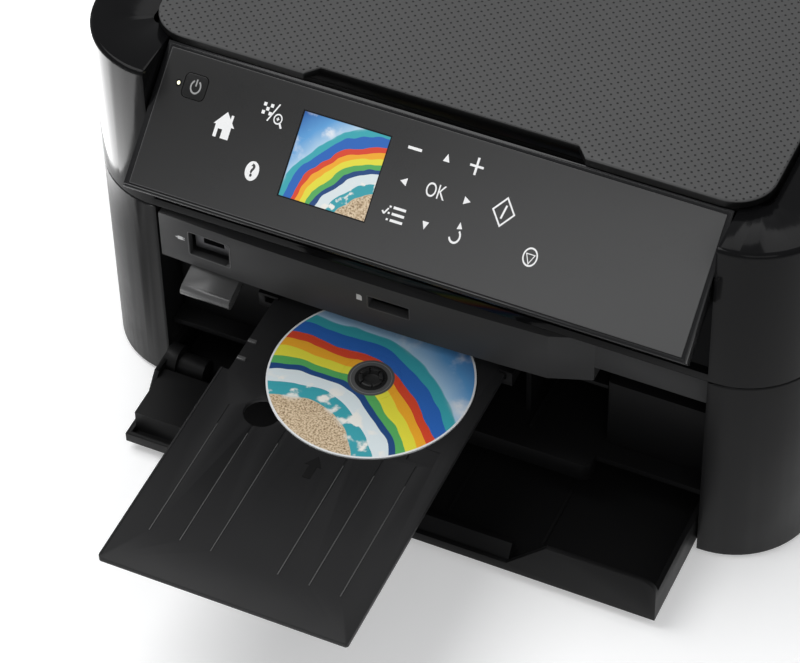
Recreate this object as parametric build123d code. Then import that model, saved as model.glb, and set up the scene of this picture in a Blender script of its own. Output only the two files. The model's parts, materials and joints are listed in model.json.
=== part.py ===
from build123d import *
from math import cos, pi, radians, sin, sqrt, tan
import os

# Photo printer with a flatbed scanner on top, a tilting control panel, a tray that carries a
# printable disc, and a paper drawer below. Sizes are in mm. X runs right, Z up from the surface
# that it stands on, and Y back. Sizes named Y below count from the columns' front faces. The last
# section moves the whole model so that its origin is under the middle of its outer box.

# ---- Body ---------------------------------------------------------------------------------------
BODY_WIDTH = 448.0
BODY_DEPTH = 370.0
SEAM_Z = 146.6                 # where the scanner unit sits on the lower housing
SHOULDER_Z = 251.8             # flat ring round the lid
FRONT_CORNER_R = 52.0
REAR_CORNER_R = 28.0
WALL = 3.0
FOOT_HEIGHT = 3.0
FOOT_RADIUS = 9.0
COLUMN_WIDTH = 54.0            # each of the two columns beside the bay
COLUMN_DEPTH = 75.0            # how far the columns' inner walls reach back
SEAM_GAP = 0.6
SLIP = 0.3                     # gap between pieces of one body that are fitted together
SWEEP = 1.5                    # gap beside pieces that move
BASE_THICKNESS = 3.0
FOOT_INSET = (36.0, 40.0)      # from the body's side and end to a foot's middle
FOOT_PLUG_R = 6.0
FOOT_PLUG = 1.5
SCREW_INSET = 34.0             # from the body's side
SCREW_FRONT_Y = 70.0
SCREW_MIDDLE_Y = 200.0
SCREW_REAR_INSET = 74.0
SCREW_R = 1.6
SCREW_HEAD_R = 3.2
SCREW_HEAD = 2.0
SCREW_LENGTH = 14.0
BOSS_R = 6.0
BOSS_HEIGHT = 40.0
RUNNER_X = 120.0               # ribs that the paper drawer slides on
RUNNER_WIDTH = 6.0

# ---- Card and socket bezel ----------------------------------------------------------------------
BEZEL_BOTTOM_Z = 108.0
BEZEL_TOP_GAP = 4.0            # below the seam
BEZEL_STEP_X = 75.0            # right end of the full-height part
BEZEL_STEP_RUN = 25.0          # its slanted end, along X
BEZEL_SETBACK = 9.0            # how far the right part lies behind
BEZEL_RIGHT_BOTTOM_Z = 119.0
BEZEL_DEPTH = 26.0
BEZEL_BOW = 3.0                # how far its left part bulges forwards
USB_SLOT = (26.0, 17.5)
USB_INSET = 32.5               # from the bezel's left end to the socket's middle
USB_Z = 126.0
USB_CLIP = 2.5                 # its two right corners are cut off
CARD_SLOT = (25.0, 8.5)
CARD_CENTRE = (-21.5, 127.5)
SOCKET_SINK = 5.0              # how far the sockets lie behind the bezel's face

# ---- Disc tray and disc -------------------------------------------------------------------------
TRAY_TOP_Z = 96.7
TRAY_THICKNESS = 3.4
TRAY_MARGINS = (22.3, 8.2)     # from the disc's rim to the tray's left and right edge
TRAY_FRONT_Y = -208.2
TRAY_RIM = 0.3                 # thin raised line along the left edge
TRAY_LENGTH = 255.0
TRAY_STEP = 5.0                # the left edge is this much further in behind the step
TRAY_STEP_Y = -57.0
DISC_X = -20.2
DISC_Y = -30.7
DISC_RADIUS = 60.0
DISC_BORE_R = 7.5
DISC_THICKNESS = 1.2
DISC_SINK = 1.0                # depth of the round seat in the tray
DISC_PLAY = 0.8                # radial room round the disc
DISC_RING_R = 17.0             # groove between the disc's printed part and its clear middle
HUB_FLANGE = 2.0               # of the hub, beyond the disc's bore
FINGER_HOLE_R = 11.0
FINGER_HOLE_OUT = 6.0          # its middle lies this far outside the disc's rim
FINGER_HOLE_ANGLE = 226.4
NOTCH_SIZE = (16.0, 12.0)      # small recess at the disc's other side
NOTCH_OUT = 5.4                # its middle lies this far outside the disc's rim
NOTCH_ANGLE = -38.8
GROOVE_DEPTH = 0.4
GUIDE_GAP = 0.6                # above and below the tray's edges
GUIDE_SIDE_GAP = 0.7
GUIDE_WALL = 4.3
GUIDE_LIP = 2.2
GUIDE_FOOT = 4.0
HUB_RISE = 2.6
HUB_PLAY = 0.3
HUB_SLOTS = 6

# ---- Paper drawer -------------------------------------------------------------------------------
DRAWER_FRONT_Y = -62.0
DRAWER_LENGTH = 272.0
DRAWER_BOTTOM_Z = 7.0
DRAWER_FLOOR = 2.5
DRAWER_WALL = 3.0
DRAWER_FRONT_TOP_Z = 38.3
DRAWER_LOW_TOP_Z = 13.5
DRAWER_SIDE_TOP_Z = 29.0
DRAWER_NOTCH_X = (77.0, 101.4) # slope between the low and the high part of the front
DRAWER_CORNER = 8.0
DRAWER_RIB = 0.8
PLATFORM_WIDTH = 34.0          # raised part at the drawer's left front corner
PLATFORM_TOP_Z = 25.5
BOSS_DRUM_R = 10.0             # round pivot boss behind it
BOSS_CORE_R = 7.5
PAPER_WIDTH = 216.0

# ---- Control panel ------------------------------------------------------------------------------
PANEL_HEIGHT = 86.0
PANEL_THICKNESS = 12.0
PANEL_TILT = 50.0              # from upright, where the photograph shows it
PANEL_CLOSED_TILT = 20.0
PANEL_SETBACK = 0.6            # its top edge lies this far behind the lid's front edge
FACE_THICKNESS = 2.0
FACE_PROUD = 0.2
FACE_MARGIN = 3.0
LCD_SIZE = (53.5, 50.0)
LCD_CENTRE = (-53.0, -40.2)
LCD_SINK = 0.2
LCD_FRAME = 3.0                # of the screen module, round its window
POWER_INSET = (23.3, 21.2)     # from the panel's left and top edge to the button's middle
POWER_SIZE = 14.0
POWER_CORNER_R = 3.0
PANEL_PIN_DROP = 7.0           # from the panel's top edge to its hinge axis
PANEL_PIN_SINK = 8.0           # from its face to the same axis
PIN_RADIUS = 2.5
PIN_PLAY = 0.05
PIN_BORE_DEPTH = 6.5           # of the bores in the panel's ends
PIN_LENGTH_IN = 6.0            # how far a pin reaches into its bore

# ---- Lid, glass and scan head -------------------------------------------------------------------
RING_WIDTH = 40.0              # flat ring left of and right of the lid
REAR_RING_WIDTH = 22.5
LID_FRONT_Y = 30.0
LID_RISE = 6.5                 # above the shoulder
LID_LIP = 9.0                  # how far the lid's front lip reaches over the panel's top
LID_LIP_THICKNESS = 5.3
LID_CORNER_R = 24.0
LID_TOP = 2.5
GRIP_X = (-86.0, 84.0)         # finger recess in the lid's front edge
GRIP_DEPTH = 8.0
GRIP_SLANT = 8.0
POCKET_Y = 40.0                # front of the pocket that the lid closes
BED_DROP = 6.8                 # from the shoulder down to the glass
BED_GAP = 0.6                  # between the glass's bed and the closed lid
BED_LEDGE = 2.0                # thickness of the ledge under the glass
LEDGE_WIDTH = 6.0
GLASS_OFFSET = 6.0             # behind the middle of the lid's pocket
GLASS_SIZE = (304.0, 220.0)
GLASS_THICKNESS = 3.0
PAD_THICKNESS = 5.0
LID_HINGE_X = 120.0
LID_HINGE_OFFSET = 4.5         # axis behind the lid's rear edge
LID_HINGE_R = 3.2
LID_PIN_R = 1.5
LINER_CELLS = (4, 3)           # hollows in the liner behind the foam pad
LINER_WALL = 3.0
SCANNER_DEPTH = 50.0           # from the glass down to the scanner's floor
SCANNER_FLOOR = 2.5
SCAN_ROD_R = 3.0
SCAN_ROD_RISE = 18.0
SCAN_TRAVEL = 262.0

# ---- Print engine -------------------------------------------------------------------------------
DECK_Z = 45.0                  # top of the plate over the paper drawer
DECK_THICKNESS = 4.0
DECK_LIP_HEIGHT = 13.0
DECK_LIP_X = 103.0
DECK_FRONT_Y = 8.0
DECK_REAR_INSET = 25.0
PICKUP_WINDOW = 30.0           # half the width of the deck's window for the pickup arm
BLOCK_OFFSET = 56.0            # from the tray's right edge to the right block
BLOCK_Y = (20.0, 64.0)
ROLLER_Z = 86.0
ROLLER_SHAFT_R = 3.0
ROLLER_R = 6.5
EXIT_Y = 106.0
FEED_Y = 190.0
SHEET = 1.2                    # chassis metal
CHASSIS_INSET = 6.0            # from the bay's side to the chassis' side plate
CHASSIS_RISE = 26.0            # above the belt
RAIL_Y = 193.0
SHAFT_R = 4.0
SHAFT_Y = 165.0
SHAFT_Z = 120.0
CARRIAGE_SIZE = (108.0, 77.0, 54.0)
CARRIAGE_BOTTOM_Z = 101.0
CARRIAGE_REACH = 58.0          # from the shaft to the carriage's front
INK_FLOOR = 27.0               # from the carriage's underside to where the cartridges stand
CARRIAGE_INSET = 60.0          # from the right side plate to the carriage's middle at rest
CAP_REACH = 40.0               # from the carriage's middle at rest to the capping station's left end
PLATEN_RIB_PITCH = 18.5
INK_COUNT = 6
INK_SIZE = (13.6, 62.0, 52.0)
PULLEY_R = 6.0
PULLEY_PIN_R = 2.0
BELT_THICKNESS = 1.0
BELT_INSET = 14.0              # from the side plates to the pulleys
BELT_Z = 134.0
GEAR_MODULE = 1.5
GEAR_WIDTH = 4.0
FEED_TEETH = 24
IDLER_TEETH = 32
PINION_TEETH = 10
PINION_SHAFT_R = 2.0
STUD_R = 2.5
PICKUP_Y = 195.0
PICKUP_R = 10.0
PICKUP_WHEEL = 28.0            # width of the tyre
PICKUP_CLEAR = 1.5             # between the tyre and the drawer's floor
PICKUP_PIVOT = (252.0, 62.0)   # Y and Z of the pickup arm's pivot

# ---- Rear ---------------------------------------------------------------------------------------
REAR_DOOR = ((-110.0, 110.0), (48.0, 128.0))
INLET = (20.5, 12.5)
INLET_INSET = (46.0, 34.0)     # from the body's left side, and height
REAR_USB = (12.5, 11.5)
REAR_USB_INSET = (52.0, 36.0)
SUPPLY_Y = (90.0, 186.0)
SUPPLY_TOP_Z = 74.0
BOARD_TOP_Z = 72.0
BOARD_THICKNESS = 1.6
BOARD_GAP = 12.0               # from the bay's wall to the main board
HINGE_X = 130.0
HINGE_R = 5.0
HINGE_OFFSET = 5.5             # hinge axis behind the rear wall
HINGE_LEAF = 2.0

# ---- Release lever beside the disc tray ---------------------------------------------------------
LEVER_GAP = 17.0               # from the tray's left edge
LEVER_WIDTH = 31.5
LEVER_NOSE = (-9.0, 95.7, 4.2) # Y, Z and radius
LEVER_PIVOT_Y = 14.0
LEVER_DROP = 5.5               # pivot below the bezel
LEVER_PIN_R = 2.0

# ---- Values worked out from those above ---------------------------------------------------------
HALF_W = BODY_WIDTH / 2
HALF_BAY = HALF_W - COLUMN_WIDTH
BASE_Z = FOOT_HEIGHT
BASE_TOP_Z = BASE_Z + BASE_THICKNESS
LID_TOP_Z = SHOULDER_Z + LID_RISE
BED_Z = SHOULDER_Z - BED_DROP
BED_BOTTOM_Z = BED_Z - GLASS_THICKNESS - BED_LEDGE
LID_BOTTOM_Z = BED_Z + BED_GAP
LIP_BOTTOM_Z = LID_TOP_Z - LID_LIP_THICKNESS
HALF_LID = HALF_W - RING_WIDTH
LID_REAR_Y = BODY_DEPTH - REAR_RING_WIDTH
UPPER_Z = SEAM_Z + SEAM_GAP
BEZEL_TOP_Z = SEAM_Z - BEZEL_TOP_GAP
SCANNER_FLOOR_Z = BED_Z - SCANNER_DEPTH
SCANNER_FLOOR_TOP_Z = SCANNER_FLOOR_Z + SCANNER_FLOOR
SCAN_ROD_Z = SCANNER_FLOOR_Z + SCAN_ROD_RISE
TRAY_LEFT_X = DISC_X - DISC_RADIUS - TRAY_MARGINS[0]
TRAY_RIGHT_X = DISC_X + DISC_RADIUS + TRAY_MARGINS[1]
TRAY_BOTTOM_Z = TRAY_TOP_Z - TRAY_THICKNESS
TRAY_REAR_Y = TRAY_FRONT_Y + TRAY_LENGTH
SEAT_Z = TRAY_TOP_Z - DISC_SINK
DRAWER_REAR_Y = DRAWER_FRONT_Y + DRAWER_LENGTH
DRAWER_FLOOR_Z = DRAWER_BOTTOM_Z + DRAWER_FLOOR
HALF_DRAWER = HALF_BAY - SWEEP
HALF_PANEL = HALF_BAY - SWEEP
PANEL_TOP_Y = LID_FRONT_Y + PANEL_SETBACK
USB_CENTRE = (USB_INSET - HALF_DRAWER, USB_Z)
POWER_CENTRE = (POWER_INSET[0] - HALF_PANEL, -POWER_INSET[1])
INLET_CENTRE = (INLET_INSET[0] - HALF_W, INLET_INSET[1])
REAR_USB_CENTRE = (HALF_W - REAR_USB_INSET[0], REAR_USB_INSET[1])
LEVER_X = (TRAY_LEFT_X - LEVER_GAP - LEVER_WIDTH, TRAY_LEFT_X - LEVER_GAP)
LEVER_PIVOT_Z = BEZEL_BOTTOM_Z - LEVER_DROP
CHASSIS_X = HALF_BAY - CHASSIS_INSET
CHASSIS_TOP_Z = BELT_Z + CHASSIS_RISE
CARRIAGE_REST_X = CHASSIS_X - CARRIAGE_INSET
BELT_X = CHASSIS_X - BELT_INSET
BLOCK_X = TRAY_RIGHT_X + BLOCK_OFFSET
IDLER_Y = FEED_Y - GEAR_MODULE * (FEED_TEETH + IDLER_TEETH) / 2
PINION_Y = FEED_Y + GEAR_MODULE * (FEED_TEETH + PINION_TEETH) / 2
GEAR_X = CHASSIS_X + SHEET + 1.0
HINGE_Y = BODY_DEPTH + HINGE_OFFSET
LID_HINGE_Y = LID_REAR_Y + LID_HINGE_OFFSET
LID_HINGE_Z = SHOULDER_Z + LID_HINGE_R + 0.2
DEPTH_MIDDLE = (TRAY_FRONT_Y + HINGE_Y + HINGE_R) / 2


# ---- Shapes used by many pieces -----------------------------------------------------------------
def block(x, y, z):
    """Block between the low and high values of x, y and z."""
    centre = Pos((x[0] + x[1]) / 2, (y[0] + y[1]) / 2, (z[0] + z[1]) / 2)
    return centre * Box(x[1] - x[0], y[1] - y[0], z[1] - z[0])


def middle(centre, size):
    """Low and high values of a length about its middle."""
    return (centre - size / 2, centre + size / 2)


def along_x(radius, x, y, z):
    """Round bar from x[0] to x[1]."""
    return Pos((x[0] + x[1]) / 2, y, z) * Rot(0, 90, 0) * Cylinder(radius, x[1] - x[0])


def along_y(radius, x, y, z):
    """Round bar from y[0] to y[1]."""
    return Pos(x, (y[0] + y[1]) / 2, z) * Rot(90, 0, 0) * Cylinder(radius, y[1] - y[0])


def along_z(radius, x, y, z):
    """Round bar from z[0] to z[1]."""
    return Pos(x, y, (z[0] + z[1]) / 2) * Cylinder(radius, z[1] - z[0])


def plan(half_width, front, back, front_r, rear_r):
    """Outline seen from above, with round corners."""
    face = Pos(0, (front + back) / 2) * Rectangle(2 * half_width, back - front)
    face = fillet(face.vertices().group_by(Axis.Y)[0], front_r)
    return fillet(face.vertices().group_by(Axis.Y)[-1], rear_r)


def rise(face, z):
    """Upright solid over a flat outline, from z[0] to z[1]."""
    return Pos(0, 0, z[0]) * extrude(face, z[1] - z[0], dir=(0, 0, 1))


def body_plan(inset):
    """The body's outline, drawn in by inset."""
    return plan(HALF_W - inset, inset, BODY_DEPTH - inset, FRONT_CORNER_R - inset, REAR_CORNER_R - inset)


def front_y(x):
    """Y of the body's front face at a distance x from its middle."""
    past = max(0.0, x - (HALF_W - FRONT_CORNER_R))
    return FRONT_CORNER_R - sqrt(FRONT_CORNER_R ** 2 - past ** 2)


def both(x0, x1):
    """Low and high X of one stretch on the left and of its mirror image on the right."""
    return [sorted((side * x0, side * x1)) for side in (-1, 1)]


def side_profile(points, x):
    """Solid from a closed outline of (y, z) points, between x[0] and x[1]."""
    outline = make_face(Polyline(*points, close=True))
    across = Plane((x[0], 0, 0), x_dir=(0, 1, 0), z_dir=(1, 0, 0))
    return extrude(across * outline, x[1] - x[0], dir=(1, 0, 0))


def front_profile(points, y):
    """Solid from a closed outline of (x, z) points, between y[0] and y[1]."""
    outline = make_face(Polyline(*points, close=True))
    upright = Plane((0, y[0], 0), x_dir=(1, 0, 0), z_dir=(0, -1, 0))
    return extrude(upright * outline, y[1] - y[0], dir=(0, 1, 0))


def soften(solid, edges, radius):
    """Round the given edges."""
    return fillet(edges, radius) if len(edges) else solid


def edges_at(solid, axis, value, reach=0.01):
    """Edges that lie flat at one value of an axis."""
    return solid.edges().filter_by_position(axis, value - reach, value + reach)


def gear_face(teeth, turn, bore):
    """Spur gear outline with one tooth pointing along its first axis, turned by a share of a pitch."""
    pitch_r = GEAR_MODULE * teeth / 2
    root, tip = pitch_r - 1.25 * GEAR_MODULE, pitch_r + 0.85 * GEAR_MODULE
    shape = ((root, -0.33), (pitch_r, -0.22), (tip, -0.1), (tip, 0.1), (pitch_r, 0.22), (root, 0.33))
    points = []
    for tooth in range(teeth):
        for radius, share in shape:
            angle = 2 * pi * (tooth + turn + share) / teeth
            points.append((radius * cos(angle), radius * sin(angle)))
    return make_face(Polyline(*points, close=True)) - Circle(bore)


def gear(teeth, turn, bore, x, y, z):
    """Spur gear whose axis lies along X."""
    face = gear_face(teeth, turn, bore)
    return extrude(Plane((x[0], y, z), x_dir=(0, 1, 0), z_dir=(1, 0, 0)) * face, x[1] - x[0], dir=(1, 0, 0))


# ---- Lower housing and what closes it -----------------------------------------------------------
def screw_places():
    """X and Y of the screws that hold the base pan."""
    rows = (SCREW_FRONT_Y, SCREW_MIDDLE_Y, BODY_DEPTH - SCREW_REAR_INSET)
    return [(side * (HALF_W - SCREW_INSET), y) for side in (-1, 1) for y in rows]


def lower_housing():
    """Two columns, side walls and rear wall in one shell."""
    shell = rise(body_plan(0), (BASE_Z, SEAM_Z))
    shell = soften(shell, edges_at(shell, Axis.Z, SEAM_Z), 1.2)
    shell -= rise(body_plan(WALL), (BASE_Z - 1, SEAM_Z + 1))
    shell -= block((-HALF_BAY, HALF_BAY), (-1, FRONT_CORNER_R + 1), (BASE_Z - 1, SEAM_Z + 1))
    for inner in both(HALF_BAY, HALF_BAY + WALL):
        shell += block(inner, (front_y(HALF_BAY + WALL), COLUMN_DEPTH), (BASE_Z, SEAM_Z))
    boss_z = (BASE_TOP_Z + SLIP, BASE_TOP_Z + BOSS_HEIGHT)
    for x, y in screw_places():
        outer = HALF_W - WALL / 2
        shell += along_z(BOSS_R, x, y, boss_z)
        shell += block(sorted((x, outer if x > 0 else -outer)), middle(y, WALL), boss_z)
        shell -= along_z(SCREW_R, x, y, (BASE_Z - 1, BASE_TOP_Z + SCREW_LENGTH + 2))
    shell -= block(REAR_DOOR[0], (BODY_DEPTH - WALL - 1, BODY_DEPTH + 1), REAR_DOOR[1])
    for (width, height), (x, z) in ((INLET, INLET_CENTRE), (REAR_USB, REAR_USB_CENTRE)):
        shell -= block(middle(x, width), (BODY_DEPTH - WALL - 1, BODY_DEPTH + 1), middle(z, height))
    return shell


def base_pan():
    """Floor of the printer, with runners for the paper drawer and countersinks for the screws."""
    pan = rise(body_plan(WALL + SLIP), (BASE_Z, BASE_TOP_Z))
    through = (BASE_Z - 1, BASE_TOP_Z + 1)
    pan -= block((-HALF_BAY, HALF_BAY), (-1, WALL + 4), through)
    for wall in both(HALF_BAY - SLIP, HALF_BAY + WALL + SLIP):
        pan -= block(wall, (-1, COLUMN_DEPTH + SLIP), through)
    for side in (-1, 1):
        runner = middle(side * RUNNER_X, RUNNER_WIDTH)
        pan += block(runner, (12, BODY_DEPTH - 30), (BASE_TOP_Z, DRAWER_BOTTOM_Z - SLIP))
    for x, y in screw_places():
        pan -= along_z(SCREW_R, x, y, through)
        pan -= along_z(SCREW_HEAD_R + SLIP, x, y, (BASE_Z - 1, BASE_Z + SCREW_HEAD))
    for x, y in foot_places():
        pan -= along_z(FOOT_PLUG_R + SLIP / 2, x, y, (BASE_Z - 1, BASE_Z + FOOT_PLUG))
    return pan


def case_screws():
    """Screws that hold the base pan to the housing, heads down."""
    screws = []
    slot_length, slot_width = 0.72 * 2 * SCREW_HEAD_R, 0.9
    slot_z = (BASE_Z, BASE_Z + 0.55 * SCREW_HEAD)
    for x, y in screw_places():
        head = along_z(SCREW_HEAD_R, x, y, (BASE_Z + 0.2, BASE_Z + SCREW_HEAD))
        slot = block(middle(x, slot_length), middle(y, slot_width), slot_z)
        cross = block(middle(x, slot_width), middle(y, slot_length), slot_z)
        shank = along_z(SCREW_R - 0.1, x, y, (BASE_Z + SCREW_HEAD, BASE_TOP_Z + SCREW_LENGTH))
        screws.append(head + shank - slot - cross)
    return screws


def foot_places():
    """Where the four feet stand."""
    inset_x, inset_y = FOOT_INSET
    return [(side * (HALF_W - inset_x), y) for side in (-1, 1) for y in (inset_y, BODY_DEPTH - inset_y)]


def rubber_feet():
    """Round feet with a plug that is pressed into the base pan."""
    feet = []
    for x, y in foot_places():
        pad = along_z(FOOT_RADIUS, x, y, (0, FOOT_HEIGHT))
        pad = soften(pad, edges_at(pad, Axis.Z, 0), 0.8)
        feet.append(pad + along_z(FOOT_PLUG_R, x, y, (FOOT_HEIGHT, FOOT_HEIGHT + FOOT_PLUG)))
    return feet


def rear_cover():
    """Cover over the paper path at the back, with two finger grips."""
    (x0, x1), (z0, z1) = REAR_DOOR
    cover = block((x0 + SLIP, x1 - SLIP), (BODY_DEPTH - WALL, BODY_DEPTH - 0.2), (z0 + SLIP, z1 - SLIP))
    cover += block((x0 + 12, x1 - 12), (BODY_DEPTH - 22, BODY_DEPTH - WALL), (z0 + 8, z1 - 8))
    cover -= block((x0 + 15, x1 - 15), (BODY_DEPTH - 23, BODY_DEPTH - WALL), (z0 + 11, z1 - 11))
    for side in (-1, 1):
        grip_x = middle(side * 84.0, 22)
        cover -= block(grip_x, (BODY_DEPTH - 1.6, BODY_DEPTH), middle((z0 + z1) / 2, 30))
    for rib in range(5):
        z = middle(z0 + 20 + rib * 10, 2.0)
        cover += block((-62, 62), (BODY_DEPTH - 0.2, BODY_DEPTH + 0.6), z)
    return cover


def power_inlet():
    """Two-pole mains inlet."""
    (width, height), (x, z) = INLET, INLET_CENTRE
    shell = block(middle(x, width - SLIP), (BODY_DEPTH - 22, BODY_DEPTH), middle(z, height - SLIP))
    shell += block(middle(x, width + 6), (BODY_DEPTH - WALL - 2, BODY_DEPTH - WALL), middle(z, height + 6))
    shell -= block(middle(x, 8.4), (BODY_DEPTH - 18, BODY_DEPTH + 1), middle(z, 9.2))
    for side in (-1, 1):
        shell -= along_y(4.6, x + side * 4.2, (BODY_DEPTH - 18, BODY_DEPTH + 1), z)
    for side in (-1, 1):
        shell += along_y(1.2, x + side * 4.2, (BODY_DEPTH - 18.5, BODY_DEPTH - 3), z)
    return shell


def rear_usb_socket():
    """Square data socket with its tongue."""
    (width, height), (x, z) = REAR_USB, REAR_USB_CENTRE
    shell = block(middle(x, width - SLIP), (BODY_DEPTH - 18, BODY_DEPTH), middle(z, height - SLIP))
    shell += block(middle(x, width + 5), (BODY_DEPTH - WALL - 1.5, BODY_DEPTH - WALL), middle(z, height + 5))
    shell -= block(middle(x, width - 3), (BODY_DEPTH - 15, BODY_DEPTH + 1), middle(z, height - 3))
    shell += block(middle(x, 5.6), (BODY_DEPTH - 15.5, BODY_DEPTH - 2), middle(z, 3.0))
    return shell


# ---- Bezel and its sockets ----------------------------------------------------------------------
def front_bezel():
    """Panel across the bay with the socket and card openings; its right part lies further back."""
    left, right = -HALF_DRAWER, HALF_DRAWER
    step_end = BEZEL_STEP_X + BEZEL_STEP_RUN
    bow = ThreePointArc((left, 0), ((left + BEZEL_STEP_X) / 2, -BEZEL_BOW), (BEZEL_STEP_X, 0))
    rest = Polyline((BEZEL_STEP_X, 0), (step_end, BEZEL_SETBACK), (right, BEZEL_SETBACK),
                    (right, BEZEL_DEPTH), (left, BEZEL_DEPTH), (left, 0))
    front = rise(make_face([bow, rest]), (BEZEL_BOTTOM_Z, BEZEL_TOP_Z))
    front -= block((step_end, right + 1), (-5, BEZEL_DEPTH + 1), (BEZEL_BOTTOM_Z - 1, BEZEL_RIGHT_BOTTOM_Z))
    corner_x = middle(BEZEL_STEP_X, 0.2)
    corner = front.edges().filter_by(Axis.Z).filter_by_position(Axis.X, *corner_x)
    front = soften(front, corner, 3.0)
    front -= block((left + WALL, BEZEL_STEP_X - WALL), (WALL, BEZEL_DEPTH + 1),
                   (BEZEL_BOTTOM_Z + WALL, BEZEL_TOP_Z - WALL))
    front -= block((BEZEL_STEP_X - WALL - 1, right - WALL), (BEZEL_SETBACK + WALL, BEZEL_DEPTH + 1),
                   (BEZEL_RIGHT_BOTTOM_Z + WALL, BEZEL_TOP_Z - WALL))
    front -= usb_mouth((-5, WALL + 1))
    card_x, card_z = middle(CARD_CENTRE[0], CARD_SLOT[0]), middle(CARD_CENTRE[1], CARD_SLOT[1])
    front -= block(card_x, (-5, WALL + 1), card_z)
    return front + lever_pin()


def usb_mouth(y):
    """Opening for the data socket, with its right corners cut off."""
    (width, height), (x, z) = USB_SLOT, USB_CENTRE
    x0, x1 = middle(x, width)
    z0, z1 = middle(z, height)
    in_x, low_z, high_z = x1 - USB_CLIP, z0 + USB_CLIP, z1 - USB_CLIP
    return front_profile([(x0, z0), (in_x, z0), (x1, low_z), (x1, high_z), (in_x, z1), (x0, z1)], y)


def usb_socket():
    """Metal data socket sunk behind the bezel."""
    (width, height), (x, z) = USB_SLOT, USB_CENTRE
    y0 = SOCKET_SINK
    shell = block(middle(x, width - 2), (y0, y0 + 16), middle(z, height - 2))
    shell -= block(middle(x, 13.2), (y0 - 1, y0 + 12), middle(z, 5.6))
    shell += block(middle(x, 11.0), (y0 + 1, y0 + 12.5), (z + 0.4, z + 2.3))
    return shell


def card_socket():
    """Memory card slot, two widths deep."""
    (width, height), (x, z) = CARD_SLOT, CARD_CENTRE
    y0 = SOCKET_SINK
    shell = block(middle(x, width + 4), (y0, y0 + 20), middle(z, height + 2))
    shell -= block(middle(x, width - 1.5), (y0 - 1, y0 + 17), (z - 3.6, z - 1.0))
    shell -= block(middle(x - 1, width - 4.5), (y0 - 1, y0 + 14), (z + 0.8, z + 3.2))
    return shell


# ---- Deck over the drawer, blocks beside the tray and its guides --------------------------------
def paper_deck():
    """Plate over the drawer: its thick front lip is where printed paper slides out."""
    plate_z = (DECK_Z - DECK_THICKNESS, DECK_Z)
    pivot_y, pivot_z = PICKUP_PIVOT
    deck = block((-HALF_BAY + SLIP, HALF_BAY - SLIP), (DECK_FRONT_Y, BODY_DEPTH - DECK_REAR_INSET), plate_z)
    deck += block((-DECK_LIP_X, DECK_LIP_X), (-2, DECK_FRONT_Y + 4), (DECK_Z - DECK_LIP_HEIGHT, DECK_Z))
    lip = deck.edges().filter_by(Axis.Z).group_by(Axis.Y)[0]
    deck = soften(deck, lip, 5.0)
    window_y = (PICKUP_Y - 2.2 * PICKUP_R, pivot_y + 22)
    deck -= block((-PICKUP_WINDOW, PICKUP_WINDOW), window_y, (DECK_Z - DECK_THICKNESS - 1, DECK_Z + 1))
    for x in (-60.0, 60.0):
        deck += block(middle(x, 1.6), (DECK_FRONT_Y + 6, EXIT_Y - 10), (DECK_Z, DECK_Z + 2))
    for foot in both(PICKUP_WINDOW - 4, PICKUP_WINDOW + 4):
        deck += block(foot, middle(pivot_y, 14), plate_z)
    for side in (-1, 1):
        x = middle(side * (PICKUP_WINDOW - 4), 3)
        ear = block(x, middle(pivot_y, 14), (DECK_Z - DECK_THICKNESS, pivot_z + 6))
        deck += ear - along_x(PIN_RADIUS + PIN_PLAY, (x[0] - 1, x[1] + 1), pivot_y, pivot_z)
    return deck


def bay_blocks():
    """Recessed block faces that close the bay beside the tray's path."""
    blocks = []
    for low_x, high_x, top in ((BLOCK_X, HALF_BAY - SLIP, TRAY_TOP_Z + GUIDE_GAP),
                               (-HALF_BAY + SLIP, TRAY_LEFT_X - 7, TRAY_BOTTOM_Z - 5)):
        solid = block((low_x, high_x), BLOCK_Y, (DECK_Z, top))
        solid = soften(solid, solid.edges().filter_by(Axis.Z).group_by(Axis.Y)[0], 3.0)
        hollow_y = (BLOCK_Y[0] + WALL, BLOCK_Y[1] + 1)
        hollow = block((low_x + WALL, high_x - WALL), hollow_y, (DECK_Z - 1, top - WALL))
        blocks.append(solid - hollow)
    return blocks


def tray_guides():
    """Channels that hold the disc tray's two edges."""
    guides = []
    low, high = TRAY_BOTTOM_Z - GUIDE_GAP, TRAY_TOP_Z + GUIDE_GAP
    length = (2, BLOCK_Y[1])
    for edge, out, lip, foot, leg in (
            (TRAY_LEFT_X, -1, TRAY_LEFT_X + TRAY_STEP + 3.0, TRAY_LEFT_X - 7, TRAY_LEFT_X - 3.4),
            (TRAY_RIGHT_X, 1, TRAY_RIGHT_X - 3.5, BLOCK_X, TRAY_RIGHT_X + 6)):
        near = edge + out * GUIDE_SIDE_GAP
        far = near + out * GUIDE_WALL
        guide = block(sorted((near, far)), length, (low - GUIDE_FOOT, high + GUIDE_LIP))
        guide += block(sorted((far, lip)), length, (high, high + GUIDE_LIP))
        guide += block(sorted((far, lip)), length, (low - GUIDE_FOOT, low))
        guide += block(sorted((far, foot)), (BLOCK_Y[0] + 2, BLOCK_Y[1] - 2), (low - GUIDE_FOOT, low - 1))
        guide += block(middle(leg, 3.2), (BLOCK_Y[0] + 4, BLOCK_Y[1] - 4), (DECK_Z, low - 1))
        guides.append(guide)
    return guides


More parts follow.
